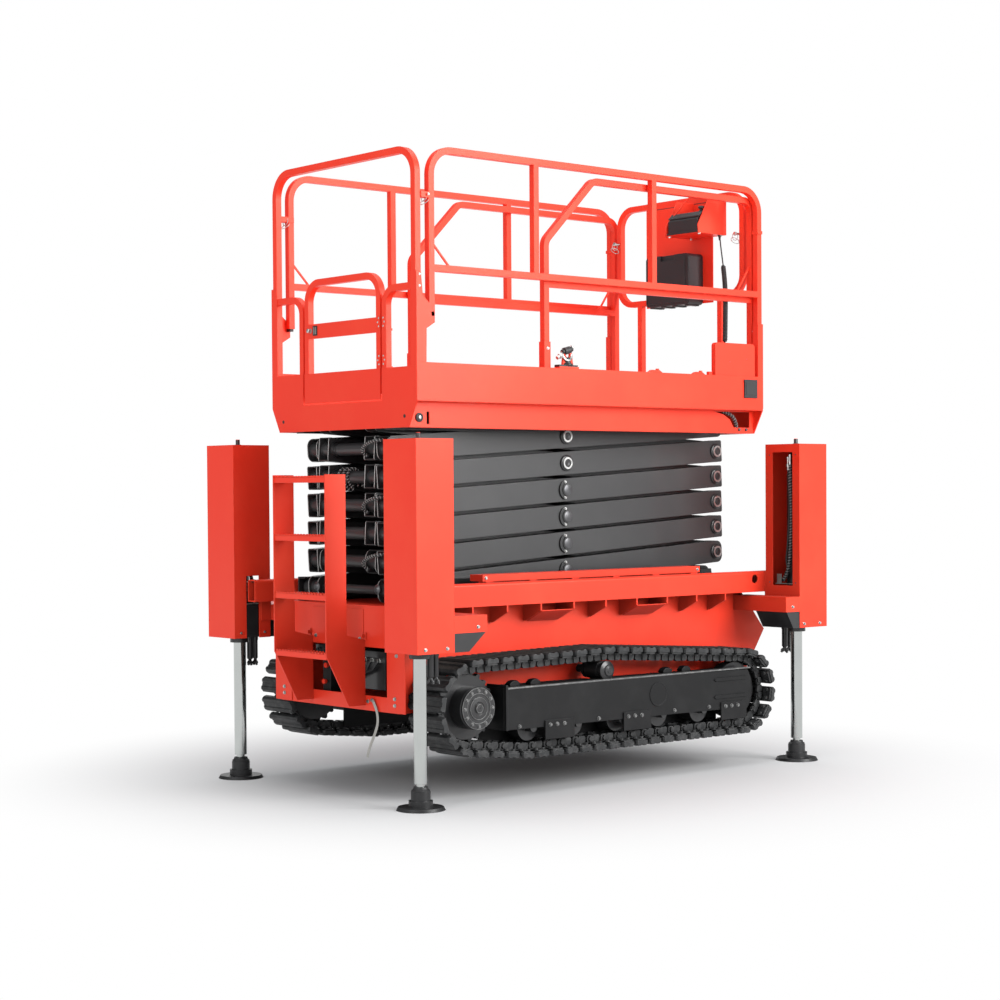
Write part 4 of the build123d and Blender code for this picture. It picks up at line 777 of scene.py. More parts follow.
# %% One link of the chain
def link_shape():
    """One link, with the pad's inner face at z = 0 and the track's run along x, in metres."""
    shape = bmesh.new()

    def solid(profile, y0, y1, narrow=0.0):
        """An outline in x and z between two sides; its ends may be drawn in."""
        middle = sum(z for _, z in profile) / len(profile)
        rings = []
        for y, share in ((y0, narrow), (y0 + 10, 0), (y1 - 10, 0),
                         (y1, narrow)) if narrow else ((y0, 0), (y1, 0)):
            rings.append([shape.verts.new((x / 1000 * (1 - share), y / 1000,
                                           (z + (middle - z) * share) / 1000)) for x, z in profile])
        for low, high in zip(rings, rings[1:]):
            for i in range(len(profile)):
                j = (i + 1) % len(profile)
                shape.faces.new((low[i], low[j], high[j], high[i]))
        shape.faces.new(rings[0])
        shape.faces.new(rings[-1][::-1])

    half = LINK_PITCH * 0.42
    pad = [(-half, -2), (half, -2), (half, 14), (half - 9, 24), (14, 24), (10, 19), (-10, 19), (-14, 24),
           (-half + 9, 24), (-half, 14)]
    solid(pad, -115, 115, 0.16)
    for side in (1, -1):
        low, high = sorted((side * 40, side * 54))
        bar = [(-half + 2, -8), (half - 10, -8), (half - 2, -18), (half - 2, -34), (half - 12, -42), (6, -42),
               (0, -36), (-8, -42), (-half - 2, -42), (-half - 8, -32), (-half - 6, -18)]
        solid(bar, low, high)
        low, high = sorted((side * 54, side * 62))
        tail = [(-half - 5, -14), (-half + 18, -14), (-half + 24, -24), (-half + 18, -38), (-half - 5, -38)]
        solid([(x + half * 1.05, z) for x, z in tail], low, high)
        low, high = sorted((side * 64, side * 108))
        solid([(-half + 6, -8), (half - 6, -8), (half - 12, -1), (-half + 12, -1)], low, high)
    for x in (-20, 20):
        for y in (-84, 84):
            ring = [(x + 9 * math.cos(t), y + 9 * math.sin(t)) for t in [math.pi * i / 3 for i in range(6)]]
            top = [shape.verts.new((a / 1000, b / 1000, -0.016)) for a, b in ring]
            base = [shape.verts.new((a / 1000, b / 1000, -0.004)) for a, b in ring]
            shape.faces.new(top)
            for i in range(6):
                j = (i + 1) % 6
                shape.faces.new((base[i], base[j], top[j], top[i]))
    bush = [(-half - 2 + 13 * math.cos(t),
             -27 + 13 * math.sin(t)) for t in [math.pi * i / 5 for i in range(10)]]
    solid(bush, -40, 40)
    bmesh.ops.recalc_face_normals(shape, faces=shape.faces)
    mesh = bpy.data.meshes.new("track_link")
    shape.to_mesh(mesh)
    shape.free()
    return mesh


link = bpy.data.objects.new("track_link", link_shape())
bpy.context.scene.collection.objects.link(link)

# %% A tree that puts a link on every place
track_tree, source, target = geometry_tree("track",
                                           (("Link", "NodeSocketObject"),
                                            ("Material", "NodeSocketMaterial")))
part = add_node(track_tree, "GeometryNodeObjectInfo")
lean = add_node(track_tree, "GeometryNodeInputNamedAttribute", {"Name": "lean"})
about_y = add_node(track_tree, "ShaderNodeCombineXYZ")
turned = add_node(track_tree, "FunctionNodeEulerToRotation")
spread = add_node(track_tree, "GeometryNodeInstanceOnPoints")
real = add_node(track_tree, "GeometryNodeRealizeInstances")
coat = add_node(track_tree, "GeometryNodeSetMaterial")
wire(track_tree, (source, "Link", part, "Object"), (source, "Geometry", spread, "Points"),
                 (part, "Geometry", spread, "Instance"), (lean, "Attribute", about_y, "Y"),
                 (about_y, 0, turned, "Euler"), (turned, 0, spread, "Rotation"), (spread, 0, real, 0),
                 (real, 0, coat, "Geometry"), (source, "Material", coat, "Material"), (coat, 0, target, 0))


def lay_track(name, side):
    """One crawler track, in place of the plain loop."""
    mesh = bpy.data.meshes.new(name + "_places")
    mesh.from_pydata([place(x, side * TRACK_Y, z) for x, z, _ in LINK_PLACES], [], [])
    leans = mesh.attributes.new("lean", "FLOAT", "POINT")
    for item, (_, _, face) in zip(leans.data, LINK_PLACES):
        item.value = math.pi / 2 - face
    helper = bpy.data.objects.new(name + "_places", mesh)
    bpy.context.scene.collection.objects.link(helper)
    run_tree(helper, track_tree, {"Link": link, "Material": FINISHES["track_steel"]})
    chain = evaluated(name, helper, "chassis")
    return chain


for side_name, side in SIDES:
    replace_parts(lay_track(f"track_chain_{side_name}", side), f"track_{side_name}")
bpy.data.objects.remove(link)
tell("a tree that puts a link on every place")

# %% [markdown]
# ## Wheels and track frames
# The drive sprocket shows its teeth and a bolted hub cover inside the rear bend. The frame's outer
# face has a bolted cover, two pressed grooves at the idler, the ends of the roller shafts along its
# lower edge, and guards with three bolts each.

# %% Sprockets
SPROCKET = (-862, 404)
TEETH, TOOTH_ROOT, TOOTH_TIP = 21, 140, 162
for side_name, side in SIDES:
    teeth, outline = bmesh.new(), []
    for i in range(TEETH * 4):
        at_root = i % 4 in (0, 3)
        reach = TOOTH_ROOT if at_root else TOOTH_TIP
        angle = 2 * math.pi * (i + (0.25 if at_root else 0)) / (TEETH * 4)
        outline.append((SPROCKET[0] + reach * math.cos(angle), SPROCKET[1] + reach * math.sin(angle)))
    add_prism(teeth, outline, "y", side * (TRACK_Y - 14), side * (TRACK_Y + 14))
    piece(f"sprocket_{side_name}", teeth, "track_steel", "chassis", bevel=1.5)
tell("sprockets")

# %% Hub covers with their bolts, and rings of painted highlight on their step edges
HUB_FACE_Y = 675
HUB_BOLT_CIRCLE, HUB_BOLTS = 77, 12
HUB_STEPS = [   # height over the face, radius
    (-94, 94), (-12, 94), (-9, 91), (0, 91), (2, 89), (2, 66), (0.5, 64), (0.5, 50), (4, 48),
    (6, 30), (3, 26), (3, 20), (9, 17), (10, 6), (8, 4), (8, 1),
]
# thin light rings on the cover's step edges, as radius and rise above the face: painted highlights
HUB_HIGHLIGHT_RIMS = ((90, 1), (66, 2), (48, 4), (18, 9))
for side_name, side in SIDES:
    cover, highlight_rims = bmesh.new(), bmesh.new()
    hub = (SPROCKET[0], side * HUB_FACE_Y, SPROCKET[1])
    add_turned(cover, place(*hub), Vector((0, side, 0)), HUB_STEPS, 40)
    piece(f"hub_cover_{side_name}", cover, "black_steel", "chassis", bevel=0)
    bolt_centre = (hub[0], side * (HUB_FACE_Y + 2), hub[2])
    rows = [(*p, outward(side)) for p in circle_points(bolt_centre, HUB_BOLT_CIRCLE, HUB_BOLTS)]
    fasteners(f"hub_bolts_{side_name}", "chassis", rows, 7, "hex", "worn_steel_and_highlight")
    for radius, rise in HUB_HIGHLIGHT_RIMS:
        ring = circle_points((hub[0], side * (HUB_FACE_Y + rise), hub[2]), radius, 36)
        add_tube(highlight_rims, [place(*p) for p in ring], 1.6, closed=True, sides=6)
    piece(f"hub_rims_{side_name}", highlight_rims, "worn_steel_and_highlight", "chassis", bevel=0)
tell("hub covers with their bolts and rims")

# %% Track frames: bolts, plates and lugs, a strip of painted highlight and a plate of painted shade
FRAME_FACE_Y = 655
ROLLER_BOLTS, GUARDS = (-610, -131, 110, 359, 593), (-375, 110, 760)
for side_name, side in SIDES:
    frame_y, face = side * FRAME_FACE_Y, outward(side)
    rows = [(x + dx, frame_y + side * 8, 300, face) for x in GUARDS for dx in (-60, -18, 26)]
    rows += [(x, frame_y, 304, face) for x in ROLLER_BOLTS if min(abs(x - g) for g in GUARDS) > 90]
    fasteners(f"frame_bolts_{side_name}", "chassis", rows, 8, "hex", "worn_steel_and_highlight")
    plates, highlight_strip, lugs = bmesh.new(), bmesh.new(), bmesh.new()
    for z in (346, 430):
        slot = [(628, z), (640, z + 8), (850, z + 8), (862, z), (850, z - 8), (640, z - 8)]
        add_prism(plates, slot, "y", frame_y, frame_y + side * 6)
    add_turned(plates, place(253, frame_y, 388), Vector((0, side, 0)),
               [(0, 57), (3, 57), (3, 52), (1.5, 51)], 40)
    # a dark plate along the rollers under the frame: painted shade that hides the floor between them
    add_block(plates, -720, 800, side * 496, side * 506, 214, 340)
    add_block(plates, -697, -685, frame_y - side * 120, frame_y + side * 12, 292, 492)
    piece(f"frame_plates_{side_name}", plates, "frame_black_and_shade", "chassis", bevel=1.5)
    # a strip in a lighter finish along the frame's top: a painted highlight on the flange's rounded edge
    add_block(highlight_strip, -689, 885, frame_y - side * 30, frame_y + side * 3, 472, 480)
    piece(f"frame_strip_{side_name}", highlight_strip, "worn_steel_and_highlight", "chassis", bevel=2.5)
    for x in (-608, -487, 347, 471):
        lug = [(x - 30, 480), (x + 26, 480), (x + 30, 494), (x + 12, 506), (x - 14, 504), (x - 30, 492)]
        add_prism(lugs, lug, "y", side * 590, side * 625)
    piece(f"frame_lugs_{side_name}", lugs, "frame_black_and_shade", "chassis", bevel=3)
tell("track frames: bolts, plates and lugs")

# %% Carrier rollers
CARRIER = (-60, 518)
CARRIER_STEPS = [(0, 36), (20, 36), (26, 44), (38, 44), (42, 36), (46, 26), (52, 24), (54, 12), (56, 11)]
for side_name, side in SIDES:
    carrier = bmesh.new()
    add_turned(carrier, place(CARRIER[0], side * 600, CARRIER[1]), Vector((0, side, 0)), CARRIER_STEPS, 28)
    for groove in range(4):
        add_turned(carrier, place(CARRIER[0], side * (500 + groove * 24), CARRIER[1]), Vector((0, side, 0)),
                   [(0, 40), (12, 40), (12, 30), (24, 30)], 28)
    piece(f"carrier_{side_name}", carrier, "black_steel", "chassis", bevel=1)
tell("carrier rollers")

# %% [markdown]
# ## Scissor stack
# The arms are open boxes, and a thin tube in a light finish runs round each cut end: a painted
# highlight where light catches the sheet's edge. Each pin ends in a boss with a spring ring, and the
# lower middle pins are held by a keeper plate with two bolts. Everything here rides with the arm
# frame that it is fixed to.

# %% Open ends of the arms, with painted highlights
STAGES, PITCH, ARM_HALF, FOOT_Z = 6, 126, 1020, 906
ARM_Y = {"inner": 173, "outer": 263}
ARM_SIDE, PIN_FACE = 38, 301
FOLD = math.asin(PITCH / (2 * ARM_HALF))


def arm_point(kind, stage, along, off=0):
    """X and Z of a point along and square to a folded arm, from its middle pin."""
    lean = FOLD if kind == "outer" else -FOLD
    return (along * math.cos(lean) - off * math.sin(lean),
            FOOT_Z + (stage - 0.5) * PITCH + along * math.sin(lean) + off * math.cos(lean))


def arm_highlight_rim(kind, stage, side, end):
    """The closed line that runs around the open end of an arm, where its painted highlight tube lies."""
    corner = 34 if stage in (1, STAGES) else 8
    reach, tall, inset = ARM_HALF + 43, 54, 2
    outline = []
    for i in range(7):
        a = math.pi / 12 * i
        outline.append((reach - corner * (1 - math.sin(a)), tall - inset - corner * (1 - math.cos(a))))
    outline += [(along, -off) for along, off in reversed(outline)]
    points = []
    for sheet, run in ((1, outline), (-1, outline[::-1])):
        for along, off in run:
            x, z = arm_point(kind, stage, end * along, off)
            points.append(place(x, side * ARM_Y[kind] + sheet * (ARM_SIDE - inset), z))
    return points


for kind in ARM_Y:
    for stage in range(1, STAGES + 1):
        highlight_rims = bmesh.new()
        for side in (1, -1):
            for end in (1, -1):
                # a light tube round each cut end: a painted highlight on the sheet's edge
                add_tube(highlight_rims, arm_highlight_rim(kind, stage, side, end), 2.2, closed=True, sides=6)
        piece(f"arm_rims_{kind}_{stage}", highlight_rims, "highlight_edge", f"{kind}_{stage}", bevel=0)
tell("open ends of the arms")

# %% Pin ends, keepers and collars
KEEPER_STAGES = (1, 2, 3, 4)
for stage in range(1, STAGES + 1):
    bosses, rings, pin_discs, bolts = bmesh.new(), bmesh.new(), bmesh.new(), []
    for along in (-ARM_HALF, 0, ARM_HALF):
        if (stage == 1 and along < 0) or (stage == STAGES and along > 0):
            continue
        x, z = arm_point("outer", stage, along)
        for side in (1, -1):
            start, aim = place(x, side * PIN_FACE, z), Vector((0, side, 0))
            if along == 0 and stage in KEEPER_STAGES:
                arc = [math.radians(100 + 10 * i) for i in range(17)]
                keeper = [(x + r * math.cos(a),
                           z + r * math.sin(a)) for r, run in ((31, arc), (47, arc[::-1])) for a in run]
                add_prism(bosses, keeper, "y", side * PIN_FACE, side * (PIN_FACE + 8))
                bolts += [(x - 14, side * (PIN_FACE + 8), z + up, outward(side)) for up in (37, -37)]
                add_turned(pin_discs, start, aim, [(11, 25), (14, 25), (15, 22)])
            else:
                add_turned(bosses, start, aim, [(0, 38), (6, 38), (8, 35), (9, 33)])
                add_turned(rings, start, aim, [(11.5, 28), (15, 28), (15, 20), (11.5, 20)])
                add_turned(bosses, start, aim, [(11, 16), (13, 16), (13.5, 13), (12.4, 9)])
    piece(f"pin_bosses_{stage}", bosses, "black_steel", f"outer_{stage}", bevel=0.6)
    piece(f"pin_rings_{stage}", rings, "zinc", f"outer_{stage}", bevel=0)
    if bolts:
        piece(f"pin_discs_{stage}", pin_discs, "dull_steel", f"outer_{stage}", bevel=0)
        fasteners(f"keeper_bolts_{stage}", f"outer_{stage}", bolts, 6, "cap")
    else:
        pin_discs.free()
    collars = bmesh.new()
    for along in (-ARM_HALF, 0, ARM_HALF):
        x, z = arm_point("inner", stage, along)
        for side in (1, -1):
            add_turned(collars, place(x, side * 136, z), Vector((0, -side, 0)),
                       [(0, 36), (10, 36), (12, 31), (32, 31), (34, 27)], sides=28)
            add_turned(collars, place(x, side * 210, z), Vector((0, side, 0)), [(0, 36), (15.5, 36)],
                       sides=28)
    piece(f"collars_{stage}", collars, "black_steel", f"inner_{stage}", bevel=1.0)
tell("pin ends, keepers and collars")

# %% Hoses over the hinge lines
for stage in (1, 3, 5):
    hinge_z = FOOT_Z + stage * PITCH
    bend = ((-1050, -150, -34), (-1074, -128, -20), (-1088, -168, 14), (-1086, -232, 32), (-1064, -268, 36),
            (-1040, -272, 30))
    hose(f"hinge_hose_{stage}", f"inner_{stage}", [(x, y, hinge_z + rise) for x, y, rise in bend], 6.5,
         wrapped=True)
for turn in range(3):
    y = 66 - turn * 34
    bend = ((-1010, y + 16, 1350), (-1052, y + 14, 1400), (-1046, y + 4, 1446), (-1014, y - 6, 1450),
            (-984, y - 14, 1412), (-986, y - 20, 1366))
    hose(f"loop_hose_{turn}", "inner_4", bend, 5.5, wrapped=True)
tell("hoses over the hinge lines")

# %% [markdown]
# ## Outrigger legs
# Each housing is a folded sheet box around a hydraulic leg. Through its window one sees the hose
# that feeds the barrel, in a spiral wrap with bright fittings. The lock valves hang underneath, and
# a rear housing is cut open beside them.

# %% Bolts of the housings and brackets
HOUSING_OUT, HOUSING_IN, HOUSING_HALF = 794, 572, 100
FOOT_BOLTS = {1: (-68, 46), -1: (-57, 60)}
BRACKET_BOLT = {1: (1038, 770), -1: (-961, 768)}
outside_bolts, window_screws, side_rivets = [], [], []
for front, side in LEGS.values():
    out, inward = ("+y", "-y") if side > 0 else ("-y", "+y")
    outside_bolts += [(front * LEG_X + off, side * HOUSING_OUT, 684, out) for off in FOOT_BOLTS[front]]
    outside_bolts.append((BRACKET_BOLT[front][0], side * HOUSING_OUT, BRACKET_BOLT[front][1], out))
    side_rivets += [(front * LEG_X + off, side * HOUSING_IN, 690, inward) for off in (-64, 67)]
    face = front * (LEG_X - HOUSING_HALF)
    window_screws += [(face, side * LEG_Y + off, z, "-x" if front > 0 else "+x")
                      for off in (-84, 84) for z in (884, 1512)]
fasteners("housing_bolts", "chassis", outside_bolts, 6.5, "cap")
fasteners("housing_rivets", "chassis", side_rivets, 5, "cap")
fasteners("window_screws", "chassis", window_screws, 3.2, "rivet", "dull_steel")
tell("bolts of the housings and brackets")

# %% Hoses and fittings of each leg
FITTING = [(0, 7), (16, 7), (16, 11), (32, 11), (32, 8), (56, 8), (56, 10), (66, 10)]
HOSE_BENDS = (
    # towards the leg, outwards, height
    (0, 0, 1462), (0, 0, 1400), (3, 3, 1240), (0, 2, 1080), (-2, -4, 985), (0, -22, 925), (4, -52, 894),
)
PIPE_BENDS = (
    (4, -16, 1450), (2, -14, 1380), (-4, -2, 1310), (-10, 0, 1180), (-8, -14, 1040), (-4, -26, 990),
    (0, -8, 930), (0, -46, 905),
)
leg_fittings = {}
for name, (front, side) in LEGS.items():
    near, y = front * (LEG_X - 76), side * (LEG_Y + 30)
    for title, bends, radius, wrapped in (("hose", HOSE_BENDS, 8, True), ("pipe", PIPE_BENDS, 4.5, False)):
        run = [(near + front * dx, y + side * dy, z) for dx, dy, z in bends]
        hose(f"leg_{title}_{name}", "chassis", run, radius, wrapped=wrapped)
    fittings = leg_fittings[name] = bmesh.new()
    add_turned(fittings, place(near, y, 1448), UPWARD, FITTING)
    add_turned(fittings, place(near + front * 4, y - side * 16, 1436), UPWARD, FITTING)
    x0, x1 = near - front * 14, near + front * 18
    add_block(fittings, x0, x1, y - side * 86, y + side * 24, 876, 880)
    add_block(fittings, x0, x0 + front * 4, y - side * 76, y - side * 48, 880, 926)
tell("hoses and fittings of each leg")

# %% Lock valves, and the block beside a rear housing
LOCK_VALVES = {
    # front or rear: its y, and each valve's place along the leg's housing with its radius
    1: (600, ((8, 15), (42, 12))), -1: (683, ((57, 15), (87, 12))),
}
NIPPLE = [(0, 7), (14, 7), (14, 9.5), (24, 9.5), (24, 6), (32, 6)]
BLOCK_HOSE = (
    # x, distance from the middle, height
    (-1212, 592, 915), (-1206, 566, 934), (-1180, 556, 930), (-1140, 552, 912), (-1100, 540, 922),
    (-1080, 528, 946), (-1040, 500, 950),
)
for name, (front, side) in LEGS.items():
    fittings, valves = leg_fittings[name], bmesh.new()
    valve_y, places = LOCK_VALVES[front]
    for off, radius in places:
        low = place(front * LEG_X + off, side * valve_y, 556)
        add_turned(valves, low, UPWARD,
                   [(0, radius - 4), (6, radius), (88, radius), (92, radius + 2), (112, radius + 2)])
        for aim in (Vector((-0.5, -0.3 * side, -0.8)), Vector((0.35, 0.2 * side, -0.9))):
            add_turned(valves, low, aim.normalized(), NIPPLE, sides=12)
    if front < 0:
        add_block(fittings, -1217, -1170, side * 586, side * 628, 882, 926)
        add_block(fittings, -1222, -1153, side * 576, side * 582, 822, 828)
        add_block(valves, -1221, -1154, side * 579, side * 634, 668, 822)
        for x, lean in ((-1208, 0.22), (-1172, -0.2)):
            add_turned(valves, place(x, side * 600, 826), Vector((lean, 0, 1)).normalized(),
                       [(0, 9), (20, 9), (20, 12), (40, 12), (40, 8), (58, 8)])
        hose(f"valve_hose_{name}", "chassis", [(x, side * y, z) for x, y, z in BLOCK_HOSE], 7.5, wrapped=True)
    piece(f"leg_fittings_{name}", fittings, "zinc", "chassis", bevel=0.5)
    piece(f"leg_valves_{name}", valves, "black_steel", "chassis", bevel=0.8)
tell("lock valves, and the block beside a rear housing")

# %% [markdown]
# The foot pads turn on a ball, and a rubber cuff closes the socket. A stud holds each barrel's top.

# %% Cuffs and studs
for name, (front, side) in LEGS.items():
    cuff = bmesh.new()
    add_turned(cuff, place(front * LEG_X, side * LEG_Y, 78), UPWARD,
               [(0, 40), (6, 40), (10, 34), (16, 31), (20, 30)], sides=40)
    piece(f"cuff_{name}", cuff, "rubber", f"leg_{name}", bevel=0)
studs = bmesh.new()
for front, side in LEGS.values():
    add_turned(studs, place(front * LEG_X, side * LEG_Y, 1565), UPWARD,
               [(0, 15), (4, 15), (4, 10), (24, 10), (28, 8)], sides=20)
piece("housing_studs", studs, "black_steel", "chassis", bevel=0)
tell("cuffs and studs")

# %% [markdown]
# ## Hull, deck and ladder
# The rear of the hull has an opening with the hydraulic valves behind it. The rungs of the ladder
# have teeth against slipping. Small flanges stiffen the deck's edge between some of the ribs.

# %% Rungs with teeth
RUNG_TOPS, RUNG_HALF, LADDER_BACK = (636, 894, 1152, 1410), 194, -1321
teeth = bmesh.new()
for top in RUNG_TOPS:
    comb = [(-RUNG_HALF, top - 1)]
    for i in range(17):
        left = -RUNG_HALF + 4 + i * 22.8
        comb += [(left, top), (left + 4, top + 6), (left + 14, top + 6), (left + 18, top)]
    comb.append((RUNG_HALF, top - 1))
    for x in (LADDER_BACK, LADDER_BACK + 56):
        add_prism(teeth, comb, "x", x, x + 4)
piece("rung_teeth", teeth, "red_paint", "chassis", bevel=0)
tell("rungs with teeth")

# %% Rear of the hull
HULL_BACK = -1115
plates = bmesh.new()
for side in (1, -1):
    add_block(plates, HULL_BACK - 4, HULL_BACK, side * 361, side * 490, 382, 662)
    add_block(plates, HULL_BACK - 6, HULL_BACK, side * 206, side * 212, 690, 724)
    add_block(plates, HULL_BACK - 22, HULL_BACK, side * 203, side * 206, 700, 716)
add_block(plates, HULL_BACK - 3, HULL_BACK, -190, 190, 664, 826)
piece("rear_plates", plates, "red_paint", "chassis")
rows = [(HULL_BACK, side * y, z, "-x") for side in (1, -1)
        for y, z in ((219, 420), (418, 444), (418, 415), (432, 632))]
rows = [(x - (4 if abs(y) > 361 else 0), y, z, aim) for x, y, z, aim in rows]
rows += [(HULL_BACK - 3, side * 166, 694, "-x") for side in (1, -1)]
fasteners("hull_bolts", "chassis", rows, 7, "hex")
valves, knobs, nuts = bmesh.new(), bmesh.new(), bmesh.new()
add_block(valves, -1098, -1010, 60, 196, 596, 652)
add_block(valves, -1092, -1020, 92, 150, 440, 596)
add_block(valves, -1080, -960, -300, -60, 470, 640)
for y in (78, 120, 162):
    add_turned(valves, place(-1098, y, 626), REARWARD, [(0, 15), (10, 15), (10, 10), (18, 10)],
               sides=20)
for y, z in ((120, 486), (104, 560)):
    add_turned(knobs, place(-1092, y, z), REARWARD, [(0, 5), (8, 5), (8, 11), (20, 12), (24, 9)],
               sides=20)
for y in (-270, -220, -170, -120):
    add_turned(nuts, place(-1080, y, 600), REARWARD, [(0, 12), (12, 12), (12, 9), (24, 9)], sides=6)
piece("hull_valves", valves, "black_steel", "chassis")
piece("hull_knobs", knobs, "red_paint", "chassis", bevel=0.8)
piece("hull_nuts", nuts, "zinc", "chassis", bevel=0.5)
for i, (y, rise) in enumerate(((-270, 30), (-220, 12), (-170, -8), (-120, -26))):
    hose(f"hull_hose_{i}", "chassis", [(-1098, y, 600), (-1108, y + 10, 580), (-1104, y + 40, 520 + rise),
         (-1090, 20, 500 + rise), (-1080, 60, 540 + rise), (-1060, 80, 560 + rise)], 8)
tell("rear of the hull")

# %% Guard bars and the deck's edge
RIB_FIRST, RIB_STEP, BEAM_Y, HULL_Y = -798, 200.6, 565, 445
edges, bar_bolts = bmesh.new(), []
for side in (1, -1):
    for i in range(6):
        x = -650 + i * 260
        add_block(edges, x - 22, x + 22, side * 497, side * 505, 937, 943)
    for bay in (2, 5):
        x = RIB_FIRST + bay * RIB_STEP
        flange = [(side * (BEAM_Y - 2), 805), (side * (HULL_Y + 16), 755), (side * (HULL_Y + 16), 751),
                  (side * (BEAM_Y - 2), 801)]
        add_prism(edges, flange, "x", x + 4, x + RIB_STEP - 4)
    bar_bolts += [(x, side * 505, 957, outward(side)) for x in (-672, 672)]
piece("deck_edges", edges, "red_paint", "chassis", bevel=0.8)
fasteners("bar_bolts", "chassis", bar_bolts, 6, "cap")
tell("guard bars and the deck's edge")

# %% Rollers' caps at the foot of the stack
caps = bmesh.new()
for side in (1, -1):
    add_turned(caps, place(-1022, side * 347, FOOT_Z), Vector((0, side, 0)), [(0, 24), (3, 24), (4, 18)],
               sides=28)
    add_turned(caps, place(-1064, side * 228, 912), REARWARD,
               [(0, 22), (4, 22), (6, 16), (12, 10)], sides=24)
piece("roller_caps", caps, "dull_steel", "outer_1", bevel=0)
tell("rollers' caps at the foot of the stack")

# %% [markdown]
# ## Platform and rails
# The rails fold, so they carry hinges, rubber stops and lock pins on wire lanyards. Everything that
# moves with the gate or with the sliding extension rides on that body.

# %% Toe boards, skirts and corner brackets
DECK_BACK, PLATFORM_Y, SKIRT_Y = -1085, 546, 488
seams, rollers_and_hole_shade, stops, lugs = bmesh.new(), bmesh.new(), bmesh.new(), bmesh.new()
bracket_bolts, post_bolts, pads = [], [], bmesh.new()
for side in (1, -1):
    out = outward(side)
    add_block(seams, DECK_BACK + 3, 1096, side * PLATFORM_Y, side * (PLATFORM_Y + 2), 1733, 1737)
    # a thin dark disc on the deck's back: painted shade for the inside of a hole
    add_turned(rollers_and_hole_shade, place(DECK_BACK, side * 457, 1670), REARWARD, [(0, 8), (0.4, 8)], sides=24)
    add_turned(rollers_and_hole_shade, place(-1030, side * SKIRT_Y, 1664), Vector((0, side, 0)),
               [(0, 20), (5, 20), (7, 17), (7, 12), (4, 11)], sides=32)
    add_turned(pads, place(-1030, side * (SKIRT_Y + 4), 1664), Vector((0, side, 0)),
               [(0, 9), (5, 9), (6, 7)], sides=6)
    add_block(stops, -1004, -985, side * 512, side * 546, 2098, 2120)
    for x0, x1 in ((316, 409), (613, 700)):
        lug = [(x0, 1899), (x0 + 22, 1912), (x1 - 22, 1912), (x1, 1899)]
        add_prism(lugs, lug, "y", side * 540, side * 520)
        add_turned(lugs, place((x0 + x1) / 2 + 18, side * 530, 1910), UPWARD,
                   [(0, 10), (8, 10), (9, 7)], sides=6)
    bracket_bolts += [(-1067, side * PLATFORM_Y, z, out) for z in (2275, 2225)]
    bracket_bolts.append((-1017, side * 549, 2620, out))
    post_bolts.append((1080, side * 502, 2128, out))
add_block(lugs, 722, 746, -540, -524, 1898, 1916)
piece("toe_seams", seams, "red_paint", "platform", bevel=0.6)
piece("skirt_rollers", rollers_and_hole_shade, "rubber", "platform", bevel=0)
piece("skirt_roller_nuts", pads, "zinc", "platform", bevel=0.4)
piece("rail_stops", stops, "rubber", "platform", bevel=1.5)
piece("toe_lugs", lugs, "red_paint", "platform", bevel=1.2)
fasteners("bracket_bolts", "platform", bracket_bolts, 6, "rivet")
fasteners("post_bolts", "extension", post_bolts, 6, "rivet")
rows = [(x, -540, z, "-y") for x, z in ((870, 1968), (990, 1985))]
fasteners("cover_rivets", "platform", rows, 3, "rivet", "dull_steel")
tell("toe boards, skirts and corner brackets")

# %% Clamps, lock pins and lanyards
clamps = {"platform": bmesh.new(), "extension": bmesh.new()}
wires = {"platform": bmesh.new(), "extension": bmesh.new()}
for side in (1, -1):
    add_block(clamps["platform"], -1052, -979, side * 508, side * 541, 2606, 2632)
    add_block(clamps["platform"], 1068, 1102, side * 503, side * 546, 2606, 2622)
LOCK_PINS = (
    # x, y, z, body, direction of the pin
    (-1052, 521, 2623, "platform", 1), (-1052, -521, 2623, "platform", 1),
    (1064, 437, 2644, "extension", -1), (1078, -414, 2618, "extension", -1),
)
for x, y, z, body, way in LOCK_PINS:
    add_turned(wires[body], place(x, y, z), Vector((way, 0, 0)),
               [(0, 6), (30, 6), (30, 10), (36, 10), (38, 4)], sides=16)
    loops = ((18, 14, 0.2), (22, 34, 0.9))
    for radius, drop, tilt in loops:
        ring = []
        for i in range(24):
            a = 2 * math.pi * i / 24
            ring.append(place(x + way * (32 + radius * math.sin(a) * math.sin(tilt)),
                              y + radius * math.cos(a), z - drop + radius * math.sin(a) * math.cos(tilt)))
        add_tube(wires[body], ring, 1.8, closed=True, sides=6)
for body in clamps:
    piece(f"lanyards_{body}", wires[body], "zinc", body, bevel=0)
piece("rail_clamps", clamps["platform"], "red_paint", "platform")
sleeves = clamps["extension"]
for side in (1, -1):
    add_block(sleeves, -316, -278, side * 468, side * 506, 1752, 2021)
piece("extension_sleeves", sleeves, "red_paint", "extension")
rows = [(-297, side * 506, 1990, outward(side)) for side in (1, -1)]
fasteners("sleeve_bolts", "extension", rows, 6, "cap")
tell("clamps, lock pins and lanyards")

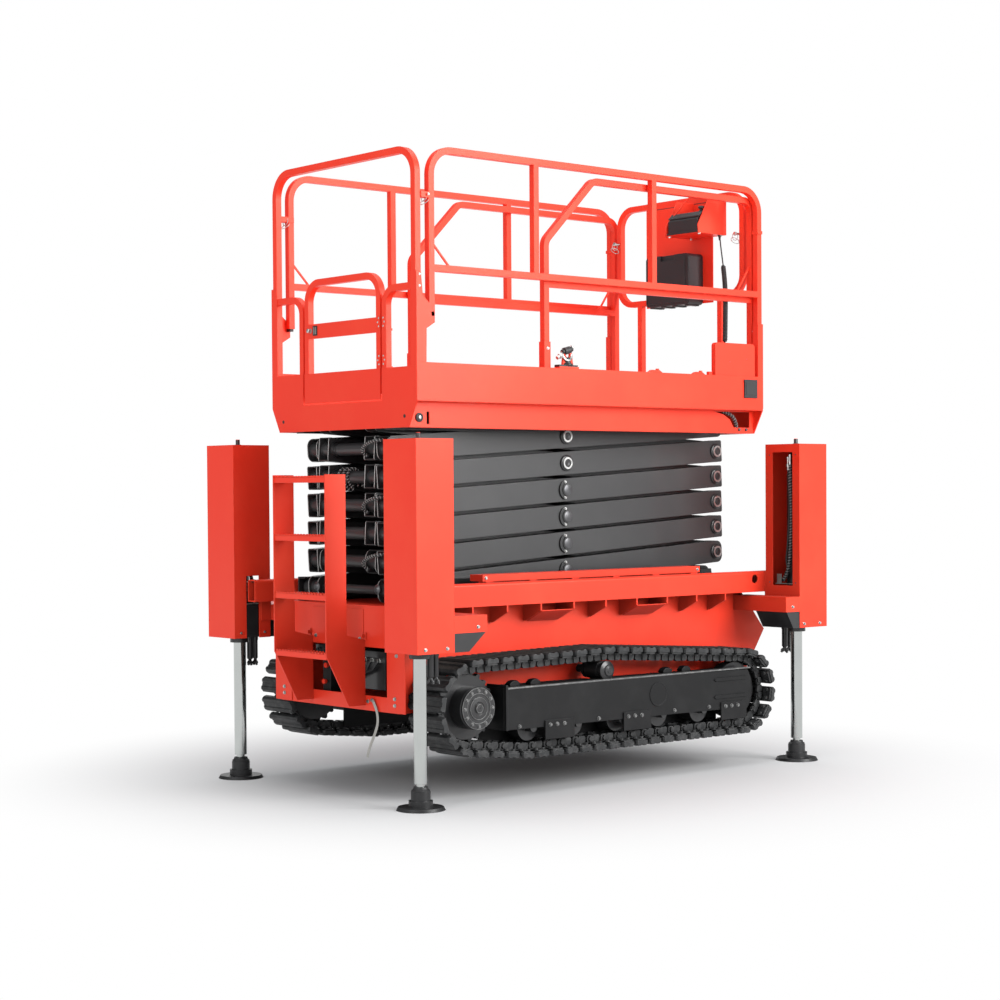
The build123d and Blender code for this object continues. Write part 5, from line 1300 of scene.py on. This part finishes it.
# %% Gate: hinges, latch and toe plate
GATE_BACK = -1082
leaves, fixed_leaves, gate_rivets, post_rivets = bmesh.new(), bmesh.new(), [], []
for z in (1920, 2086):
    add_block(leaves, GATE_BACK - 2, GATE_BACK, -284, -258, z - 26, z + 26)
    add_block(fixed_leaves, GATE_BACK - 2, GATE_BACK, -326, -299, z - 26, z + 26)
    for rise, inner in ((18, -276), (0, -268), (-18, -276)):
        gate_rivets.append((GATE_BACK - 2, inner, z + rise, "-x"))
        post_rivets.append((GATE_BACK - 2, -584 - inner, z + rise, "-x"))
piece("gate_leaves", leaves, "red_paint", "gate", bevel=0.6)
piece("post_leaves", fixed_leaves, "red_paint", "platform", bevel=0.6)
fasteners("gate_rivets", "gate", gate_rivets, 4.5, "rivet")
fasteners("post_rivets", "platform", post_rivets, 4.5, "rivet")
slots = bmesh.new()
add_block(slots, GATE_BACK - 3, GATE_BACK, 186, 218, 2056, 2100)
piece("latch_plate", slots, "plastic_black", "gate", bevel=0)
bars = bmesh.new()
for y0 in (192, 205):
    add_block(bars, GATE_BACK - 4, GATE_BACK - 2, y0, y0 + 7, 2062, 2094)
piece("latch_bars", bars, "zinc", "gate", bevel=0)
knob = bmesh.new()
add_turned(knob, place(GATE_BACK, 237, 2079), REARWARD,
           [(0, 11), (3, 11), (3, 7), (10, 7), (10, 10), (18, 10), (20, 7)])
piece("latch_knob", knob, "zinc", "gate", bevel=0.5)
tell("gate: hinges, latch and toe plate")

# %% Lanyard anchor with its swivel shackle
foot = bmesh.new()
add_block(foot, -262, -146, -545, -513, 1906, 1916)
add_turned(foot, place(-200, -531, 1914), UPWARD,
           [(0, 26), (8, 26), (10, 18), (20, 16), (34, 16), (36, 12)])
add_turned(foot, place(-232, -531, 1974), Vector((1, 0, 0.25)).normalized(),
           [(0, 11), (12, 11), (12, 17), (50, 17), (50, 11), (64, 11)])
piece("anchor_foot", foot, "pad_black", "platform", bevel=1.0)
shackle = bmesh.new()
bow = [place(-204 + 26 * math.cos(a), -531 + 10 * math.sin(a), 1962 + 26 * math.sin(a))
       for a in [2 * math.pi * i / 28 for i in range(28)]]
add_tube(shackle, bow, 7, closed=True, sides=12)
add_turned(shackle, place(-262, -531, 1946), Vector((1, 0, 0.5)).normalized(),
           [(0, 9), (16, 9), (16, 13), (30, 13)], sides=6)
add_turned(shackle, place(-168, -531, 1992), Vector((-0.3, 0, 1)).normalized(),
           [(0, 8), (8, 8), (8, 5), (16, 5)], sides=12)
piece("anchor_shackle", shackle, "zinc", "platform", bevel=0.5)
tell("lanyard anchor with its swivel shackle")

# %% Socket plate and the cable at the front cut-out
sockets, screws = bmesh.new(), []
add_block(sockets, 974, 1035, -554.5, -553, 1808, 1870)
screws += [(x, -553, z, "-y") for x in (963, 1046) for z in (1801, 1877)]
piece("socket_flap", sockets, "rubber", "platform", bevel=0.8)
fasteners("socket_screws", "platform", screws, 3, "rivet", "dull_steel")
cable_run = [(890, -470, 1728), (925, -492, 1716), (950, -494, 1690), (968, -490, 1662), (984, -474, 1642)]
hose("front_cable", "platform", cable_run, 8, wrapped=True)
rows = [(x, -488, 1640, "-y") for x in (990, 1040)]
fasteners("front_bolt", "platform", rows, 7, "cap", "dull_steel")
tell("socket plate and the cable at the front cut-out")

# %% [markdown]
# ## Controls
# The control box stands on its shelf beside a hood plate, and a bent wire guards its free side. A
# document case hangs below. All of this slides out with the extension's front rail.

# %% Control box, shelf and wire guard
SHELF_Z, SHELF_END = 2619, -112
shelf = bmesh.new()
add_block(shelf, 866, 1061, SHELF_END, SHELF_END + 12, SHELF_Z, SHELF_Z + 4)
guard = [place(*p) for p in ((868, -104, 2614), (867, -104, 2646), (869, -106, 2672), (874, -112, 2684),
                             (942, -202, 2814), (948, -211, 2824), (952, -222, 2828), (954, -240, 2827),
                             (952, -334, 2803))]
add_tube(shelf, guard, 3.5, sides=10)
piece("shelf_guard", shelf, "red_paint", "extension", bevel=0)
box = bmesh.new()
add_block(box, 862, 1060, -333, -117, 2623, 2631)
hood = [(872, 2706), (900, 2730), (1058, 2730), (1058, 2724), (902, 2724), (874, 2700)]
add_prism(box, hood, "y", -331, -119)
add_turned(box, place(912, -312, 2726), Vector((-0.1, 0, 1)).normalized(),
           [(0, 14), (6, 13), (10, 8), (16, 8), (18, 15), (27, 15), (30, 11)], sides=20)
piece("control_box_trim", box, "plastic_black", "extension", bevel=1.2)
buttons = bmesh.new()
for y in (-150, -175, -200):
    add_turned(buttons, place(930, y, 2729), UPWARD, [(0, 8), (4, 8), (5, 6)], sides=20)
piece("control_buttons", buttons, "dull_steel", "extension", bevel=0)
rows = [(x, y, SHELF_Z, "-z") for x in (880, 1035) for y in (-122, -326)]
fasteners("shelf_bolts", "extension", rows, 7, "hex")
seam = bmesh.new()
add_block(seam, 1060.6, 1062, -240, 222, 2796, 2799)
piece("plate_seam", seam, "rubber", "extension", bevel=0)
tell("control box, shelf and wire guard")

# %% Document case
case = bmesh.new()
add_block(case, 957.5, 961, -170, 122, 2294, 2300)
for y0, y1 in ((-176, -168), (-150, -144), (120, 128)):
    add_block(case, 957, 961, y0, y1, 2300, 2524)
for y in (-148, -60, 20, 100):
    add_block(case, 972, 1050, y - 14, y + 14, 2276, 2284)
piece("case_trim", case, "plastic_black", "extension", bevel=1.5)
tell("document case")

# %% [markdown]
# ## Free cords
# The control lead leaves the shelf as a plain cable, and below that it is coiled like a telephone
# cord. Its helix follows points read from the smooth line through the route, and the turns grow
# from nothing and shrink again, so the plain ends and the coil are one spline. The earth strap is a
# flat braid that hangs behind the hull.

# %% Control lead
LEAD_ROUTE = (
    # x, y, z in metres
    (1.047, -0.322, 2.619), (1.044, -0.332, 2.560), (1.027, -0.360, 2.490), (1.000, -0.398, 2.400),
    (0.967, -0.436, 2.310), (0.925, -0.474, 2.215), (0.883, -0.512, 2.130), (0.865, -0.527, 2.060),
)
CABLE, COIL_RADIUS, TURN_PITCH = 0.0065, 0.0093, 0.0078
COIL_START, COIL_END, EASE = 0.168, 0.004, 0.012
middle_line = line_points("lead_line", LEAD_ROUTE)
reach = spline_length(middle_line)
turns_start, turns_end = COIL_START, reach - COIL_END
steps = int((turns_end - turns_start) / TURN_PITCH * 14)
lead_points = [at_distance(middle_line, turns_start * i / 8)[0] for i in range(8)]
side_way = Vector((0, 1, 0))
for i in range(steps + 1):
    distance = turns_start + (turns_end - turns_start) * i / steps
    centre, ahead = at_distance(middle_line, distance)
    side_way = (side_way - ahead * side_way.dot(ahead)).normalized()
    grown = min(1, (distance - turns_start) / EASE, (turns_end - distance) / EASE)
    wide = COIL_RADIUS * math.sin(max(grown, 0) * math.pi / 2)
    angle = 2 * math.pi * (distance - turns_start) / TURN_PITCH
    lead_points.append(centre + (side_way * math.cos(angle) + ahead.cross(side_way) * math.sin(angle)) * wide)
lead_points.append(middle_line[-1])
control_lead = smooth_curve("control_lead", lead_points)
control_lead.data.splines[0].resolution_u = 2
control_lead.data.bevel_depth = CABLE / 2
control_lead.data.bevel_resolution = 3
control_lead.data.materials.append(FINISHES["rubber"])
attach(control_lead, "platform")
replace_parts(control_lead, "control_cord")
grommets = bmesh.new()
add_turned(grommets, place(1032, -322, 2619.5), Vector((0, 0, -1)), [(0, 9), (4, 9), (14, 5.5), (26, 4.5)])
piece("lead_grommet", grommets, "rubber", "extension", bevel=0)
tell("control lead")

# %% Earth strap
STRAP_X, STRAP_WIDTH, STRAP_THICK = -1.1085, 0.016, 0.003
STRAP_ROUTE = (
    # y, z in metres
    (-0.262, 0.429), (-0.290, 0.396), (-0.304, 0.335), (-0.275, 0.276), (-0.237, 0.215), (-0.222, 0.174),
)
strap_line = line_points("strap_line", [(STRAP_X, y, z) for y, z in STRAP_ROUTE])
strap = bmesh.new()
rings = []
for i, point in enumerate(strap_line):
    ahead = (strap_line[min(i + 1, len(strap_line) - 1)] - strap_line[max(i - 1, 0)]).normalized()
    across = ahead.cross(Vector((1, 0, 0)))
    rings.append([strap.verts.new(point + across * a * STRAP_WIDTH / 2 + Vector((b * STRAP_THICK / 2, 0, 0)))
                  for a, b in ((-1, -0.4), (0, -1), (1, -0.4), (1, 0.4), (0, 1), (-1, 0.4))])
for low, high in zip(rings, rings[1:]):
    for k in range(6):
        strap.faces.new((low[k], low[(k + 1) % 6], high[(k + 1) % 6], high[k]))
strap.faces.new(rings[0][::-1])
strap.faces.new(rings[-1])
braid = piece("earth_braid", strap, "braid", "chassis", bevel=0)
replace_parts(braid, "earth_strap")
fasteners("strap_bolt", "chassis", [(-1126, -262, 429, "-x")], 7, "hex")
tell("earth strap")
